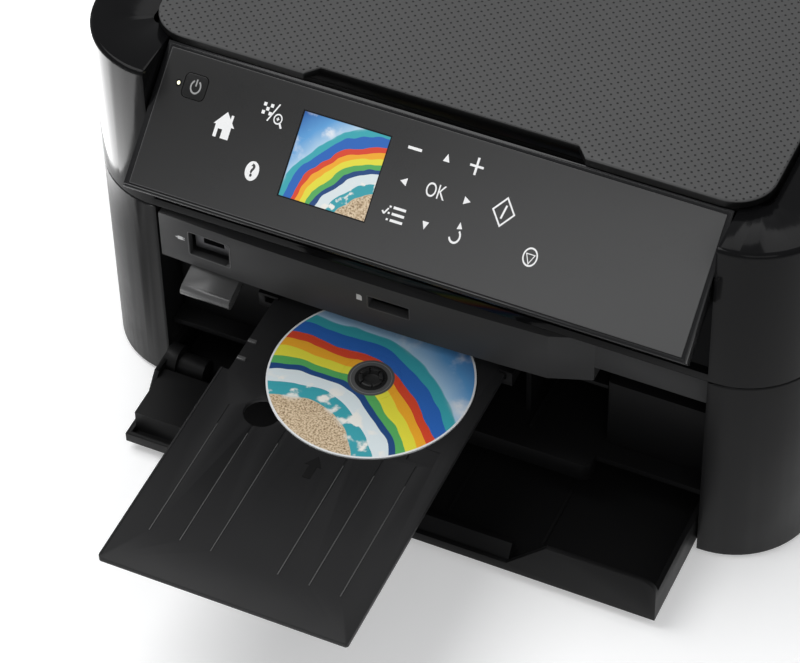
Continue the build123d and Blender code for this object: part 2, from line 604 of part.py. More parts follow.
# ---- Disc tray, hub and disc --------------------------------------------------------------------
def disc_tray():
    """Thin plate with a round seat for the disc, finger hole, ribs and guide channels."""
    left_in = TRAY_LEFT_X + TRAY_STEP
    outline = make_face(Polyline((TRAY_LEFT_X, TRAY_FRONT_Y), (TRAY_RIGHT_X, TRAY_FRONT_Y),
                                 (TRAY_RIGHT_X, TRAY_REAR_Y), (left_in, TRAY_REAR_Y), (left_in, TRAY_STEP_Y),
                                 (TRAY_LEFT_X, TRAY_STEP_Y), close=True))
    tray = rise(outline, (TRAY_BOTTOM_Z, TRAY_TOP_Z))
    corners = tray.edges().filter_by(Axis.Z).group_by(Axis.Y)
    tray = soften(tray, corners[0] + corners[-1], 2.0)
    tray -= along_z(DISC_RADIUS + DISC_PLAY, DISC_X, DISC_Y, (SEAT_Z, TRAY_TOP_Z + 1))
    tray -= along_z(DISC_RADIUS - 4, DISC_X, DISC_Y, (SEAT_Z - GROOVE_DEPTH, TRAY_TOP_Z))
    tray += along_z(DISC_RING_R + 3, DISC_X, DISC_Y, (SEAT_Z - 1, SEAT_Z))
    middle_x = (TRAY_LEFT_X + TRAY_RIGHT_X) / 2
    groove_y = (TRAY_FRONT_Y + 28, DISC_Y - 0.83 * DISC_RADIUS)
    for share in (0.27, 0.52, 0.77):
        for side in (-1, 1):
            x = middle_x + side * share * (TRAY_RIGHT_X - TRAY_LEFT_X) / 2
            tray -= block(middle(x, 1.2), groove_y, (TRAY_TOP_Z - GROOVE_DEPTH, TRAY_TOP_Z + 1))
    hole_x, hole_y = beside_disc(FINGER_HOLE_OUT, FINGER_HOLE_ANGLE)
    tray -= along_z(FINGER_HOLE_R, hole_x, hole_y, (TRAY_BOTTOM_Z - 1, TRAY_TOP_Z + 1))
    notch_x, notch_y = beside_disc(NOTCH_OUT, NOTCH_ANGLE)
    tray -= block(middle(notch_x, NOTCH_SIZE[0]), middle(notch_y, NOTCH_SIZE[1]), (SEAT_Z, TRAY_TOP_Z + 1))
    rim_z = (TRAY_TOP_Z, TRAY_TOP_Z + TRAY_RIM)
    tray += block((TRAY_LEFT_X, TRAY_LEFT_X + 1.2), (TRAY_FRONT_Y + 2, TRAY_STEP_Y), rim_z)
    tray -= along_z(DISC_BORE_R + HUB_FLANGE, DISC_X, DISC_Y, (TRAY_BOTTOM_Z - 1, TRAY_TOP_Z))
    return tray


def beside_disc(out, degrees):
    """X and Y of a place outside the disc's rim, at an angle from +X."""
    reach, angle = DISC_RADIUS + out, radians(degrees)
    return DISC_X + reach * cos(angle), DISC_Y + reach * sin(angle)


def disc_hub():
    """Ring of spring fingers that centres the disc."""
    radius, top = DISC_BORE_R - HUB_PLAY, SEAT_Z + HUB_RISE
    hub = along_z(DISC_BORE_R + HUB_FLANGE, DISC_X, DISC_Y, (TRAY_BOTTOM_Z, SEAT_Z - 0.02))
    hub += along_z(radius, DISC_X, DISC_Y, (SEAT_Z - 0.5, top))
    hub = soften(hub, edges_at(hub, Axis.Z, top), 0.8)
    hub -= along_z(radius - 2.2, DISC_X, DISC_Y, (TRAY_BOTTOM_Z + 1.4, top + 1))
    for finger in range(HUB_SLOTS):
        slot = block((radius - 3.2, radius + 1), middle(0, 1.2), (0, 4))
        hub -= Pos(DISC_X, DISC_Y, SEAT_Z) * Rot(0, 0, 360 / HUB_SLOTS * finger) * slot
    return hub


def label_disc():
    """Printable disc."""
    disc = along_z(DISC_RADIUS, DISC_X, DISC_Y, (SEAT_Z + 0.05, SEAT_Z + 0.05 + DISC_THICKNESS))
    disc -= along_z(DISC_BORE_R, DISC_X, DISC_Y, (SEAT_Z - 1, TRAY_TOP_Z + 2))
    groove = along_z(DISC_RING_R + 0.5, DISC_X, DISC_Y, (SEAT_Z + DISC_THICKNESS - 0.1, TRAY_TOP_Z + 1))
    return disc - (groove - along_z(DISC_RING_R, DISC_X, DISC_Y, (SEAT_Z, TRAY_TOP_Z + 1)))


def tray_lever():
    """Release lever beside the disc tray: a blade with a round nose, on its own pin."""
    nose_y, nose_z, nose_r = LEVER_NOSE
    pivot_y, pivot_z = LEVER_PIVOT_Y, LEVER_PIVOT_Z
    lever = along_x(nose_r, LEVER_X, nose_y, nose_z)
    lever += side_profile([(nose_y - 0.5, nose_z + nose_r), (nose_y + 2.0, nose_z - nose_r + 0.3),
                           (pivot_y + 1, pivot_z - 4), (pivot_y + 1, pivot_z + 4)], LEVER_X)
    lever += along_x(2 * LEVER_PIN_R, LEVER_X, pivot_y, pivot_z)
    return lever - along_x(LEVER_PIN_R + PIN_PLAY, (LEVER_X[0] - 1, LEVER_X[1] + 1), pivot_y, pivot_z)


def lever_pin():
    """Pin of the release lever, moulded in two ears that hang from the bezel."""
    left, right = LEVER_X
    pin = along_x(LEVER_PIN_R, (left - 5, right + 5), LEVER_PIVOT_Y, LEVER_PIVOT_Z)
    for x in ((left - 4, left - 1), (right + 1, right + 4)):
        pin += block(x, middle(LEVER_PIVOT_Y, 7), (LEVER_PIVOT_Z - 3.5, BEZEL_BOTTOM_Z))
    return pin


# ---- Paper drawer -------------------------------------------------------------------------------
def paper_drawer():
    """Open tray with a low front on the left, a high one on the right and a round raised corner."""
    left, right = -HALF_DRAWER, HALF_DRAWER
    front, back = DRAWER_FRONT_Y, DRAWER_REAR_Y
    bottom, floor_top, low_top = DRAWER_BOTTOM_Z, DRAWER_FLOOR_Z, DRAWER_LOW_TOP_Z
    low_x, high_x = DRAWER_NOTCH_X
    shoulder_z = DRAWER_FRONT_TOP_Z - DRAWER_CORNER
    drawer = block((left, right), (front, back), (bottom, floor_top))
    high_top, side_top = DRAWER_FRONT_TOP_Z, DRAWER_SIDE_TOP_Z
    wall = front_profile([(left, bottom), (right, bottom), (right, high_top), (high_x, high_top),
                          (low_x, low_top), (left, low_top)], (front, front + DRAWER_WALL))
    top_right = wall.edges().filter_by(Axis.Y).sort_by_distance((right, front, high_top))[0]
    drawer += fillet(top_right, DRAWER_CORNER)
    drawer += side_profile([(front, bottom), (back, bottom), (back, side_top), (-6, side_top),
                            (-14, shoulder_z), (front, shoulder_z)], (right - DRAWER_WALL, right))
    drawer += side_profile([(front, bottom), (back, bottom), (back, side_top), (front + 40, side_top),
                            (front + 26, low_top), (front, low_top)], (left, left + DRAWER_WALL))
    for x in both(44, right):
        drawer += block(x, (back - DRAWER_WALL, back), (bottom, DRAWER_SIDE_TOP_Z))
    inner = front + DRAWER_WALL
    drawer += side_profile([(inner, floor_top), (front + 16, floor_top), (front + 13, low_top + 6.5),
                            (front + 9, low_top + 7.5), (inner, low_top - 1.5)],
                           (left + PLATFORM_WIDTH + 2, low_x))
    drawer += drawer_platform(left, front, floor_top)
    for x in (-90.0, -30.0, 30.0, 90.0):
        drawer += block(middle(x, 2.0), (front + 24, back - 30), (floor_top, floor_top + DRAWER_RIB))
    return drawer


def drawer_platform(left, front, floor_top):
    """Raised box at the drawer's left front corner, and the pivot boss behind it."""
    box_x, box_y = (left + DRAWER_WALL, left + PLATFORM_WIDTH), (front + 8, front + 46)
    platform = block(box_x, box_y, (floor_top, PLATFORM_TOP_Z))
    hollow_x, hollow_y = (box_x[0] + 2, box_x[1] - 2), (box_y[0] + 2, box_y[1] + 1)
    platform -= block(hollow_x, hollow_y, (floor_top - 1, PLATFORM_TOP_Z - 2))
    boss_y = box_y[1] + 12
    drum = along_x(BOSS_DRUM_R, (left + 1, left + 9), boss_y, floor_top + BOSS_DRUM_R + 2.5)
    core = along_x(BOSS_CORE_R, (left + 9, left + 26), boss_y, floor_top + BOSS_CORE_R + 3)
    return platform + drum + core


def edge_guide():
    """Sliding guide for the paper's left edge."""
    low = DRAWER_FLOOR_Z + DRAWER_RIB + SLIP
    x, y = -PAPER_WIDTH / 2 - 3, 98.0
    guide = block((x - 26, x + 30), middle(y, 40), (low, low + 1.5))
    guide += block((x, x + 2.5), middle(y, 96), (low, DRAWER_SIDE_TOP_Z - 2))
    guide += block((x - 14, x + 1), middle(y, 12), (low, DRAWER_SIDE_TOP_Z - 6))
    return guide


# ---- Print engine -------------------------------------------------------------------------------
def chassis():
    """Folded sheet frame: two side plates and the rail plate, with bores for the shafts."""
    frame = gear_stud()
    side_y = (EXIT_Y - 16, RAIL_Y + SHEET)
    for x in both(CHASSIS_X, CHASSIS_X + SHEET):
        plate = block(x, side_y, (DECK_Z, CHASSIS_TOP_Z))
        for y in (EXIT_Y, FEED_Y):
            plate -= along_x(ROLLER_SHAFT_R + PIN_PLAY, (x[0] - 1, x[1] + 1), y, ROLLER_Z)
        frame += plate - along_x(SHAFT_R + 0.01, (x[0] - 1, x[1] + 1), SHAFT_Y, SHAFT_Z)
    for x in both(CHASSIS_X - 12, CHASSIS_X):
        frame += block(x, (side_y[0] + 4, side_y[0] + 50), (DECK_Z, DECK_Z + SHEET))
    across, bore_y = (-CHASSIS_X - SHEET, CHASSIS_X + SHEET), (RAIL_Y - 1, RAIL_Y + SHEET + 1)
    rail = block(across, (RAIL_Y, RAIL_Y + SHEET), (TRAY_TOP_Z + 8, CHASSIS_TOP_Z))
    rail += block(across, (RAIL_Y, RAIL_Y + 16), (CHASSIS_TOP_Z - SHEET, CHASSIS_TOP_Z))
    for hole in range(-3, 4):
        rail -= along_y(6.0, hole * 32, bore_y, CHASSIS_TOP_Z - CHASSIS_RISE / 2)
    for side in (-1, 1):
        rail -= along_y(PULLEY_PIN_R + PIN_PLAY, side * BELT_X, bore_y, BELT_Z)
    return frame + rail


def carriage_shaft():
    """Polished rod that the print carriage runs on."""
    rod = along_x(SHAFT_R, (-CHASSIS_X - 4, CHASSIS_X + 4), SHAFT_Y, SHAFT_Z)
    return chamfer(edges_at(rod, Axis.X, CHASSIS_X + 4) + edges_at(rod, Axis.X, -CHASSIS_X - 4), 0.6)


def platen():
    """Ribbed bed under the print head, to the left of the capping station."""
    top = TRAY_BOTTOM_Z - 1.2
    left, right = -CHASSIS_X + 1, CARRIAGE_REST_X - CAP_REACH - 2
    bed = block((left, right), (EXIT_Y + 14, FEED_Y - 12), (top - 8, top - 2))
    for rib in range(int((right - left - PLATEN_RIB_PITCH) / PLATEN_RIB_PITCH) + 1):
        x = left + 13 + rib * PLATEN_RIB_PITCH
        bed += block(middle(x, 1.6), (EXIT_Y + 16, FEED_Y - 14), (top - 3, top))
    for x in (left + 23, right - 22):
        bed += block(middle(x, 8), middle((EXIT_Y + FEED_Y) / 2, 30), (DECK_Z, top - 8))
    return bed


def capping_station():
    """Pad that seals the print head at rest, with its wiper."""
    top = TRAY_BOTTOM_Z + 3.5
    x0, x1 = CARRIAGE_REST_X - CAP_REACH, CHASSIS_X - 12
    y0, y1 = EXIT_Y + 14, FEED_Y - 14
    station = block((x0, x1), (y0, y1), (DECK_Z, top - 8))
    station -= block((x0 + 4, x1 - 4), (y0 + 4, y1 - 4), (DECK_Z - 1, top - 12))
    station += block(middle(CARRIAGE_REST_X + 2, 44), (y0 + 8, y1 - 8), (top - 8, top - 1))
    station -= block(middle(CARRIAGE_REST_X + 2, 38), (y0 + 11, y1 - 11), (top - 4, top))
    station += block((x0 + 6, x0 + 7.5), (y0 + 6, y1 - 6), (top - 8, top))
    return station


def print_carriage():
    """Cartridge holder that runs on the shaft."""
    width, depth, height = CARRIAGE_SIZE
    x, y0, z0 = CARRIAGE_REST_X, SHAFT_Y - CARRIAGE_REACH, CARRIAGE_BOTTOM_Z
    holder = block(middle(x, width), (y0, y0 + depth), (z0, z0 + height))
    holder = soften(holder, holder.edges().filter_by(Axis.Z).group_by(Axis.Y)[0], 4.0)
    inside = (width - 2 * WALL) / INK_COUNT
    for slot in range(INK_COUNT):
        slot_x = x - width / 2 + WALL + inside * (slot + 0.5)
        holder -= block(middle(slot_x, inside - 1.4), (y0 + WALL, y0 + WALL + INK_SIZE[1] + 1),
                        (z0 + INK_FLOOR, z0 + height + 1))
    channel, bush = 2 * SHAFT_R + 2.4, 2 * SHAFT_R + 2.8
    holder -= block(middle(x, width + 2), middle(SHAFT_Y, channel), middle(SHAFT_Z, channel))
    for side in (-1, 1):
        bush_x = sorted((x + side * (width / 2 - 12), x + side * width / 2))
        holder += block(bush_x, middle(SHAFT_Y, bush), middle(SHAFT_Z, bush))
    holder -= along_x(SHAFT_R + PIN_PLAY, middle(x, width + 2), SHAFT_Y, SHAFT_Z)
    lower_run = BELT_Z - PULLEY_R - BELT_THICKNESS
    holder += block(middle(x, 20), (y0 + depth, RAIL_Y - 1.0), (lower_run - 4, lower_run - SLIP))
    return holder


def print_head():
    """Nozzle plate under the carriage."""
    x, y0 = CARRIAGE_REST_X, SHAFT_Y - CARRIAGE_REACH
    return block(middle(x, 40), (y0 + 22, y0 + 52), (CARRIAGE_BOTTOM_Z - 1.4, CARRIAGE_BOTTOM_Z))


def ink_cartridges():
    """Six cartridges side by side, each with a round top edge and a latch tab."""
    width = CARRIAGE_SIZE[0]
    inside = (width - 2 * WALL) / INK_COUNT
    y0 = SHAFT_Y - CARRIAGE_REACH + WALL + 0.5
    z0 = CARRIAGE_BOTTOM_Z + INK_FLOOR + 0.2
    cartridges = []
    for slot in range(INK_COUNT):
        x = CARRIAGE_REST_X - width / 2 + WALL + inside * (slot + 0.5)
        tank = block(middle(x, INK_SIZE[0]), (y0, y0 + INK_SIZE[1]), (z0, z0 + INK_SIZE[2]))
        tank = fillet(tank.edges().filter_by(Axis.X).group_by(Axis.Z)[-1], 4.0)
        tab = block(middle(x, INK_SIZE[0] - 5), (y0 + 8, y0 + 20), (z0 + INK_SIZE[2], z0 + INK_SIZE[2] + 2))
        cartridges.append(tank + tab)
    return cartridges


def belt_pulley(x):
    """Toothless pulley on its axle, turning about Y."""
    y = (RAIL_Y - 7, RAIL_Y - 1)
    wheel = along_y(PULLEY_R, x, y, BELT_Z)
    wheel += along_y(PULLEY_R + 1.6, x, (y[0] - 1, y[0] - 0.2), BELT_Z)
    wheel += along_y(PULLEY_R - 1, x, (y[0] - 0.2, y[0]), BELT_Z)
    wheel += along_y(PULLEY_PIN_R, x, (y[0] - 1.2, RAIL_Y + 6), BELT_Z)
    return wheel


def carriage_belt():
    """Closed belt round the two pulleys."""
    outer_r, inner_r = PULLEY_R + BELT_THICKNESS + 0.1, PULLEY_R + 0.1
    loop = block((-BELT_X, BELT_X), (RAIL_Y - 6.8, RAIL_Y - 1.4), (BELT_Z - outer_r, BELT_Z + outer_r))
    for side in (-1, 1):
        loop += along_y(outer_r, side * BELT_X, (RAIL_Y - 6.8, RAIL_Y - 1.4), BELT_Z)
    loop -= block((-BELT_X, BELT_X), (RAIL_Y - 8, RAIL_Y), (BELT_Z - inner_r, BELT_Z + inner_r))
    for side in (-1, 1):
        loop -= along_y(inner_r, side * BELT_X, (RAIL_Y - 8, RAIL_Y), BELT_Z)
    return loop


def carriage_motor():
    """Motor behind the rail that turns the left pulley."""
    can = along_y(16.0, -BELT_X, (RAIL_Y + 9, RAIL_Y + 48), BELT_Z - 2)
    can = soften(can, edges_at(can, Axis.Y, RAIL_Y + 48), 2.0)
    can += along_y(5.0, -BELT_X, (RAIL_Y + 7.5, RAIL_Y + 9), BELT_Z - 2)
    bracket = block(middle(-BELT_X + 10, 14), (RAIL_Y + SHEET, RAIL_Y + 12), (BELT_Z - 24, BELT_Z - 14))
    return can + bracket


def feed_motor():
    """Motor that turns the paper rollers through gears, on the right side plate."""
    body = along_x(15.0, (CHASSIS_X - 42, CHASSIS_X - 6), PINION_Y, ROLLER_Z)
    body = soften(body, edges_at(body, Axis.X, CHASSIS_X - 42), 2.0)
    bracket = block((CHASSIS_X - 40, CHASSIS_X - 10), middle(PINION_Y, 18), (DECK_Z, ROLLER_Z - 10))
    return body + bracket


def feed_pinion():
    """Motor's pinion and shaft."""
    pinion = gear(PINION_TEETH, 0, PINION_SHAFT_R / 2, (GEAR_X, GEAR_X + GEAR_WIDTH), PINION_Y, ROLLER_Z)
    return pinion + along_x(PINION_SHAFT_R, (CHASSIS_X - 5, GEAR_X + GEAR_WIDTH), PINION_Y, ROLLER_Z)


def feed_roller():
    """Steel roller that moves the paper."""
    end = CHASSIS_X - 4
    roller = along_x(ROLLER_R, (-end, end), FEED_Y, ROLLER_Z)
    roller += along_x(ROLLER_SHAFT_R, (-CHASSIS_X - 3, GEAR_X + GEAR_WIDTH + 2), FEED_Y, ROLLER_Z)
    return roller


def feed_gear():
    """Gear on the feed roller."""
    x = (GEAR_X, GEAR_X + GEAR_WIDTH)
    return gear(FEED_TEETH, 0.5, ROLLER_SHAFT_R, x, FEED_Y, ROLLER_Z)


def exit_roller():
    """Shaft with rubber rings where the paper leaves."""
    shaft = along_x(ROLLER_SHAFT_R, (-CHASSIS_X - 3, GEAR_X + GEAR_WIDTH + 2), EXIT_Y, ROLLER_Z)
    for ring in range(-3, 4):
        shaft += along_x(ROLLER_R, middle(ring * 48, 10), EXIT_Y, ROLLER_Z)
    return shaft


def exit_gear():
    """Gear on the exit roller."""
    return gear(FEED_TEETH, 0.5, ROLLER_SHAFT_R, (GEAR_X, GEAR_X + GEAR_WIDTH), EXIT_Y, ROLLER_Z)


def idler_gear():
    """Wide gear between the feed and the exit roller."""
    wheel = gear(IDLER_TEETH, 0, STUD_R + PIN_PLAY, (GEAR_X, GEAR_X + GEAR_WIDTH), IDLER_Y, ROLLER_Z)
    ring_r = 0.54 * GEAR_MODULE * IDLER_TEETH / 2
    for spoke in range(5):
        angle = 2 * pi * spoke / 5
        hole_y, hole_z = IDLER_Y + ring_r * cos(angle), ROLLER_Z + ring_r * sin(angle)
        wheel -= along_x(0.3 * ring_r, (GEAR_X - 1, GEAR_X + GEAR_WIDTH + 1), hole_y, hole_z)
    return wheel


def gear_stud():
    """Stud for the idler gear, riveted into the chassis' right side plate."""
    outer = GEAR_X + GEAR_WIDTH
    stud = along_x(STUD_R, (CHASSIS_X + SHEET / 2, outer + 1), IDLER_Y, ROLLER_Z)
    return stud + along_x(STUD_R + 2, (outer + 0.6, outer + 1.8), IDLER_Y, ROLLER_Z)


def pickup_arm():
    """Arm that lays the pickup roller on the paper."""
    (pivot_y, pivot_z), roller_z = PICKUP_PIVOT, pickup_z()
    arm = along_x(PIN_RADIUS, (1 - PICKUP_WINDOW, PICKUP_WINDOW - 1), pivot_y, pivot_z)
    arm += along_x(5.5, (7 - PICKUP_WINDOW, PICKUP_WINDOW - 7), pivot_y, pivot_z)
    for x in both(PICKUP_WHEEL / 2 + 3, PICKUP_WHEEL / 2 + 6):
        arm += side_profile([(pivot_y, pivot_z + 5), (pivot_y, pivot_z - 5), (PICKUP_Y - 2, roller_z - 4.5),
                             (PICKUP_Y - 2, roller_z + 4.5)], x)
        arm += along_x(4.5, x, PICKUP_Y, roller_z)
    return arm - along_x(PIN_RADIUS + PIN_PLAY, middle(0, PICKUP_WHEEL + 20), PICKUP_Y, roller_z)


def pickup_z():
    """Height of the pickup roller's axis: its tyre clears the drawer's floor."""
    return DRAWER_FLOOR_Z + PICKUP_R + PICKUP_CLEAR


def pickup_roller():
    """Rubber roller on its axle."""
    roller = along_x(PICKUP_R, middle(0, PICKUP_WHEEL), PICKUP_Y, pickup_z())
    return roller + along_x(PIN_RADIUS, middle(0, PICKUP_WHEEL + 16), PICKUP_Y, pickup_z())


# ---- Electrics in the two side bays -------------------------------------------------------------
def power_supply():
    """Closed supply box beside the drawer on the left."""
    box_x = (-HALF_W + WALL + 1, -HALF_BAY - WALL - 2)
    supply = block(box_x, SUPPLY_Y, (BASE_TOP_Z, SUPPLY_TOP_Z))
    return soften(supply, supply.edges().filter_by(Axis.Y).group_by(Axis.Z)[-1], 2.0)


def main_board():
    """Circuit board on edge beside the drawer on the right, with its larger components."""
    x = HALF_BAY + WALL + BOARD_GAP
    front = SUPPLY_Y[0]
    outer = x + BOARD_THICKNESS
    board = block((x, outer), SUPPLY_Y, (BASE_TOP_Z, BOARD_TOP_Z))
    chips = ((20, 30, 18, 18, 2), (50, 50, 12, 12, 2), (70, 24, 8, 14, 7), (34, 62, 24, 6, 5))
    for y, z, width, height, depth in chips:
        board += block((outer, outer + depth), middle(front + y, width), middle(z, height))
    return board


# ---- Scanner unit -------------------------------------------------------------------------------
def bay_cut(inset, half_width):
    """Space in front of the upper housing in which the control panel hangs and tilts."""
    tilt = radians(PANEL_CLOSED_TILT)
    behind = PANEL_THICKNESS - PANEL_PIN_SINK + 2.5
    axis_y, axis_z = panel_axis()
    top = (axis_y + behind * cos(tilt) + 0.2 + inset, axis_z - behind * sin(tilt))
    foot_z = UPPER_Z + 6
    foot_y = top[0] - (top[1] - foot_z) * tan(tilt)
    low_z = UPPER_Z - 1 if inset else foot_z
    points = [(-20, low_z), (foot_y, low_z), top, (POCKET_Y + inset, BED_BOTTOM_Z),
              (POCKET_Y + inset, SHOULDER_Z + 1), (-20, SHOULDER_Z + 1)]
    return side_profile(points, (-half_width, half_width))


def panel_axis():
    """Y and Z of the control panel's hinge axis."""
    tilt = radians(PANEL_TILT)
    y = PANEL_TOP_Y - PANEL_PIN_DROP * sin(tilt) + PANEL_PIN_SINK * cos(tilt)
    z = SHOULDER_Z - PANEL_PIN_DROP * cos(tilt) - PANEL_PIN_SINK * sin(tilt)
    return y, z


def upper_housing():
    """Outer shell of the scanner unit, with the ring round the lid and the panel's bay."""
    outer = rise(body_plan(0), (UPPER_Z, SHOULDER_Z))
    outer = soften(outer, edges_at(outer, Axis.Z, SHOULDER_Z), 3.0)
    outer = soften(outer, edges_at(outer, Axis.Z, UPPER_Z), 0.8)
    inner = rise(body_plan(WALL), (UPPER_Z - 1, SHOULDER_Z - WALL))
    inner -= bay_cut(WALL, HALF_BAY + WALL)
    shell = outer - inner
    shell -= bay_cut(0, HALF_BAY)
    pocket = plan(HALF_LID + SWEEP, POCKET_Y, LID_REAR_Y + SWEEP, 6.0, LID_CORNER_R + SWEEP)
    return shell - rise(pocket, (BED_BOTTOM_Z - 2, SHOULDER_Z + 1))


def glass_frame():
    """Bed that carries the glass, with a ledge round the opening."""
    out = SWEEP - SLIP
    bed = plan(HALF_LID + out, POCKET_Y + SLIP, LID_REAR_Y + out, 6.0 - SLIP, LID_CORNER_R + out)
    frame = rise(bed, (BED_BOTTOM_Z, BED_Z))
    size_x, size_y = GLASS_SIZE
    for ledge, z in ((0, (BED_Z - GLASS_THICKNESS, BED_Z + 1)), (LEDGE_WIDTH, (BED_BOTTOM_Z - 1, BED_Z))):
        frame -= block(middle(0, size_x - 2 * ledge), middle(glass_middle(), size_y - 2 * ledge), z)
    return frame


def glass_middle():
    """Y of the glass's middle."""
    return (POCKET_Y + LID_REAR_Y) / 2 + GLASS_OFFSET


def platen_glass():
    """Flat glass that the original is laid on."""
    mid_y = glass_middle()
    size_x, size_y = GLASS_SIZE[0] - SLIP, GLASS_SIZE[1] - SLIP
    return block(middle(0, size_x), middle(mid_y, size_y), (BED_Z - GLASS_THICKNESS, BED_Z))


def scanner_floor():
    """Floor under the scan head, hung between the upper housing's walls, with ribs."""
    inset, top = WALL + SLIP, SCANNER_FLOOR_TOP_Z
    floor = plan(HALF_W - inset, 62, BODY_DEPTH - inset, 12, REAR_CORNER_R - inset)
    plate = rise(floor, (SCANNER_FLOOR_Z, top))
    for x in (-HALF_BAY, -60.0, 60.0, HALF_BAY):
        plate += block(middle(x, 2), (80, BODY_DEPTH - 30), (top, top + 5.5))
    for side in (-1, 1):
        for y in (110.0, BODY_DEPTH - 70):
            plate += along_z(7, side * (HALF_LID + 2), y, (top, BED_BOTTOM_Z))
    return plate


def scan_rail():
    """Steel rod and toothed strip that the scan head runs along."""
    y = glass_middle()
    ends = HALF_LID - 10
    rail = along_x(SCAN_ROD_R, (-ends, ends), y, SCAN_ROD_Z)
    for foot in both(ends - 2, ends + 8):
        rail += block(foot, middle(y, 14), (SCANNER_FLOOR_TOP_Z, SCAN_ROD_Z + 2 * SCAN_ROD_R))
    return rail


def scan_head():
    """Long sensor bar under the glass, with its carrier on the rail."""
    x = -SCAN_TRAVEL / 2
    y = glass_middle()
    top = BED_Z - GLASS_THICKNESS - 0.6
    bar = block(middle(x, 16), middle(y, GLASS_SIZE[1] - 14), (top - 13, top))
    bar += block(middle(x, 5), middle(y, GLASS_SIZE[1] - 20), (top, top + 0.3))
    bar += block(middle(x, 30), middle(y, 26), (SCAN_ROD_Z - 2 * SCAN_ROD_R, top - 13))
    return bar - along_x(SCAN_ROD_R + PIN_PLAY, middle(x, 34), y, SCAN_ROD_Z)


def hinge_barrels(places, leaf_z):
    """Hinge barrels with their leaves on the rear wall."""
    barrels = []
    for x0, x1 in places:
        barrel = along_x(HINGE_R, (x0, x1), HINGE_Y, SEAM_Z)
        barrel += block((x0, x1), (BODY_DEPTH, BODY_DEPTH + HINGE_LEAF), leaf_z)
        barrel += block((x0, x1), (BODY_DEPTH + 1, HINGE_Y), middle(SEAM_Z, 3.2))
        barrels.append(barrel - along_x(PIN_RADIUS + PIN_PLAY, (x0 - 1, x1 + 1), HINGE_Y, SEAM_Z))
    return barrels


def lower_hinges():
    """Outer barrels of the two rear hinges, on the lower housing."""
    places = []
    for side in (-1, 1):
        places += [middle(side * HINGE_X - 14, 10), middle(side * HINGE_X + 14, 10)]
    return hinge_barrels(places, (SEAM_Z - 24, SEAM_Z - 1))


def upper_hinges():
    """Middle barrels of the rear hinges, on the scanner unit."""
    places = [middle(side * HINGE_X, 17) for side in (-1, 1)]
    return hinge_barrels(places, (UPPER_Z + 0.4, SEAM_Z + 26))


def hinge_pins():
    """Steel pins through the rear hinges."""
    return [along_x(PIN_RADIUS, middle(side * HINGE_X, 39), HINGE_Y, SEAM_Z) for side in (-1, 1)]


def panel_pins():
    """Two short pins that the control panel turns on, in the bay's cheeks."""
    y, z = panel_axis()
    return [along_x(PIN_RADIUS, x, y, z) for x in both(HALF_PANEL - PIN_LENGTH_IN, HALF_BAY)]


# ---- Lid ----------------------------------------------------------------------------------------
def lid_cover():
    """Lid shell with a thin front lip over the panel's top edge and a finger recess."""
    skirt_y, skirt_r = LID_FRONT_Y + LID_LIP + 1, LID_CORNER_R - 4
    lower = plan(HALF_LID, skirt_y, LID_REAR_Y, skirt_r, LID_CORNER_R)
    upper = plan(HALF_LID, LID_FRONT_Y, LID_REAR_Y, LID_CORNER_R, LID_CORNER_R)
    slab = rise(upper, (LIP_BOTTOM_Z, LID_TOP_Z))
    slab = soften(slab, edges_at(slab, Axis.Z, LID_TOP_Z), 1.5)
    cover = slab + rise(lower, (LID_BOTTOM_Z, LIP_BOTTOM_Z))
    hollow = plan(HALF_LID - LID_TOP, skirt_y + LID_TOP, LID_REAR_Y - LID_TOP,
                  skirt_r - LID_TOP, LID_CORNER_R - LID_TOP)
    cover -= rise(hollow, (LID_BOTTOM_Z - 1, LID_TOP_Z - LID_TOP))
    x0, x1 = GRIP_X
    grip_y = (LID_FRONT_Y - 1, LID_FRONT_Y + GRIP_DEPTH)
    grip = make_face(Polyline((x0, grip_y[0]), (x1, grip_y[0]), (x1 - GRIP_SLANT, grip_y[1]),
                              (x0 + GRIP_SLANT, grip_y[1]), close=True))
    return cover - rise(grip, (LIP_BOTTOM_Z - 1, LID_TOP_Z + 1))


def lid_pad():
    """Foam pad that presses the original flat, on its stiff liner."""
    (size_x, size_y), mid_y = GLASS_SIZE, glass_middle()
    low = BED_Z + SLIP + PAD_THICKNESS
    pad = block(middle(0, size_x + 6), middle(mid_y, size_y + 6), (BED_Z + SLIP, low))
    pad = soften(pad, pad.edges().filter_by(Axis.Z), 3.0)
    liner = block(middle(0, size_x), middle(mid_y, size_y), (low, LID_TOP_Z - LID_TOP))
    columns, rows = LINER_CELLS
    cell_x, cell_y = size_x / columns, size_y / rows
    for column in range(columns):
        for row in range(rows):
            x = (column - (columns - 1) / 2) * cell_x
            y = mid_y + (row - (rows - 1) / 2) * cell_y
            hollow_x, hollow_y = middle(x, cell_x - LINER_WALL), middle(y, cell_y - LINER_WALL)
            liner -= block(hollow_x, hollow_y, (low + 1, LID_TOP_Z))
    return pad + liner


def lid_hinge_arms():
    """Two barrels with a short leaf on the lid's rear edge."""
    arms = []
    for side in (-1, 1):
        x = middle(side * LID_HINGE_X, 14)
        arm = along_x(LID_HINGE_R, x, LID_HINGE_Y, LID_HINGE_Z)
        arm += block(x, (LID_REAR_Y, LID_HINGE_Y), (LID_HINGE_Z - 1.5, LID_HINGE_Z + 1.5))
        arms.append(arm - along_x(LID_PIN_R + PIN_PLAY, (x[0] - 1, x[1] + 1), LID_HINGE_Y, LID_HINGE_Z))
    return arms


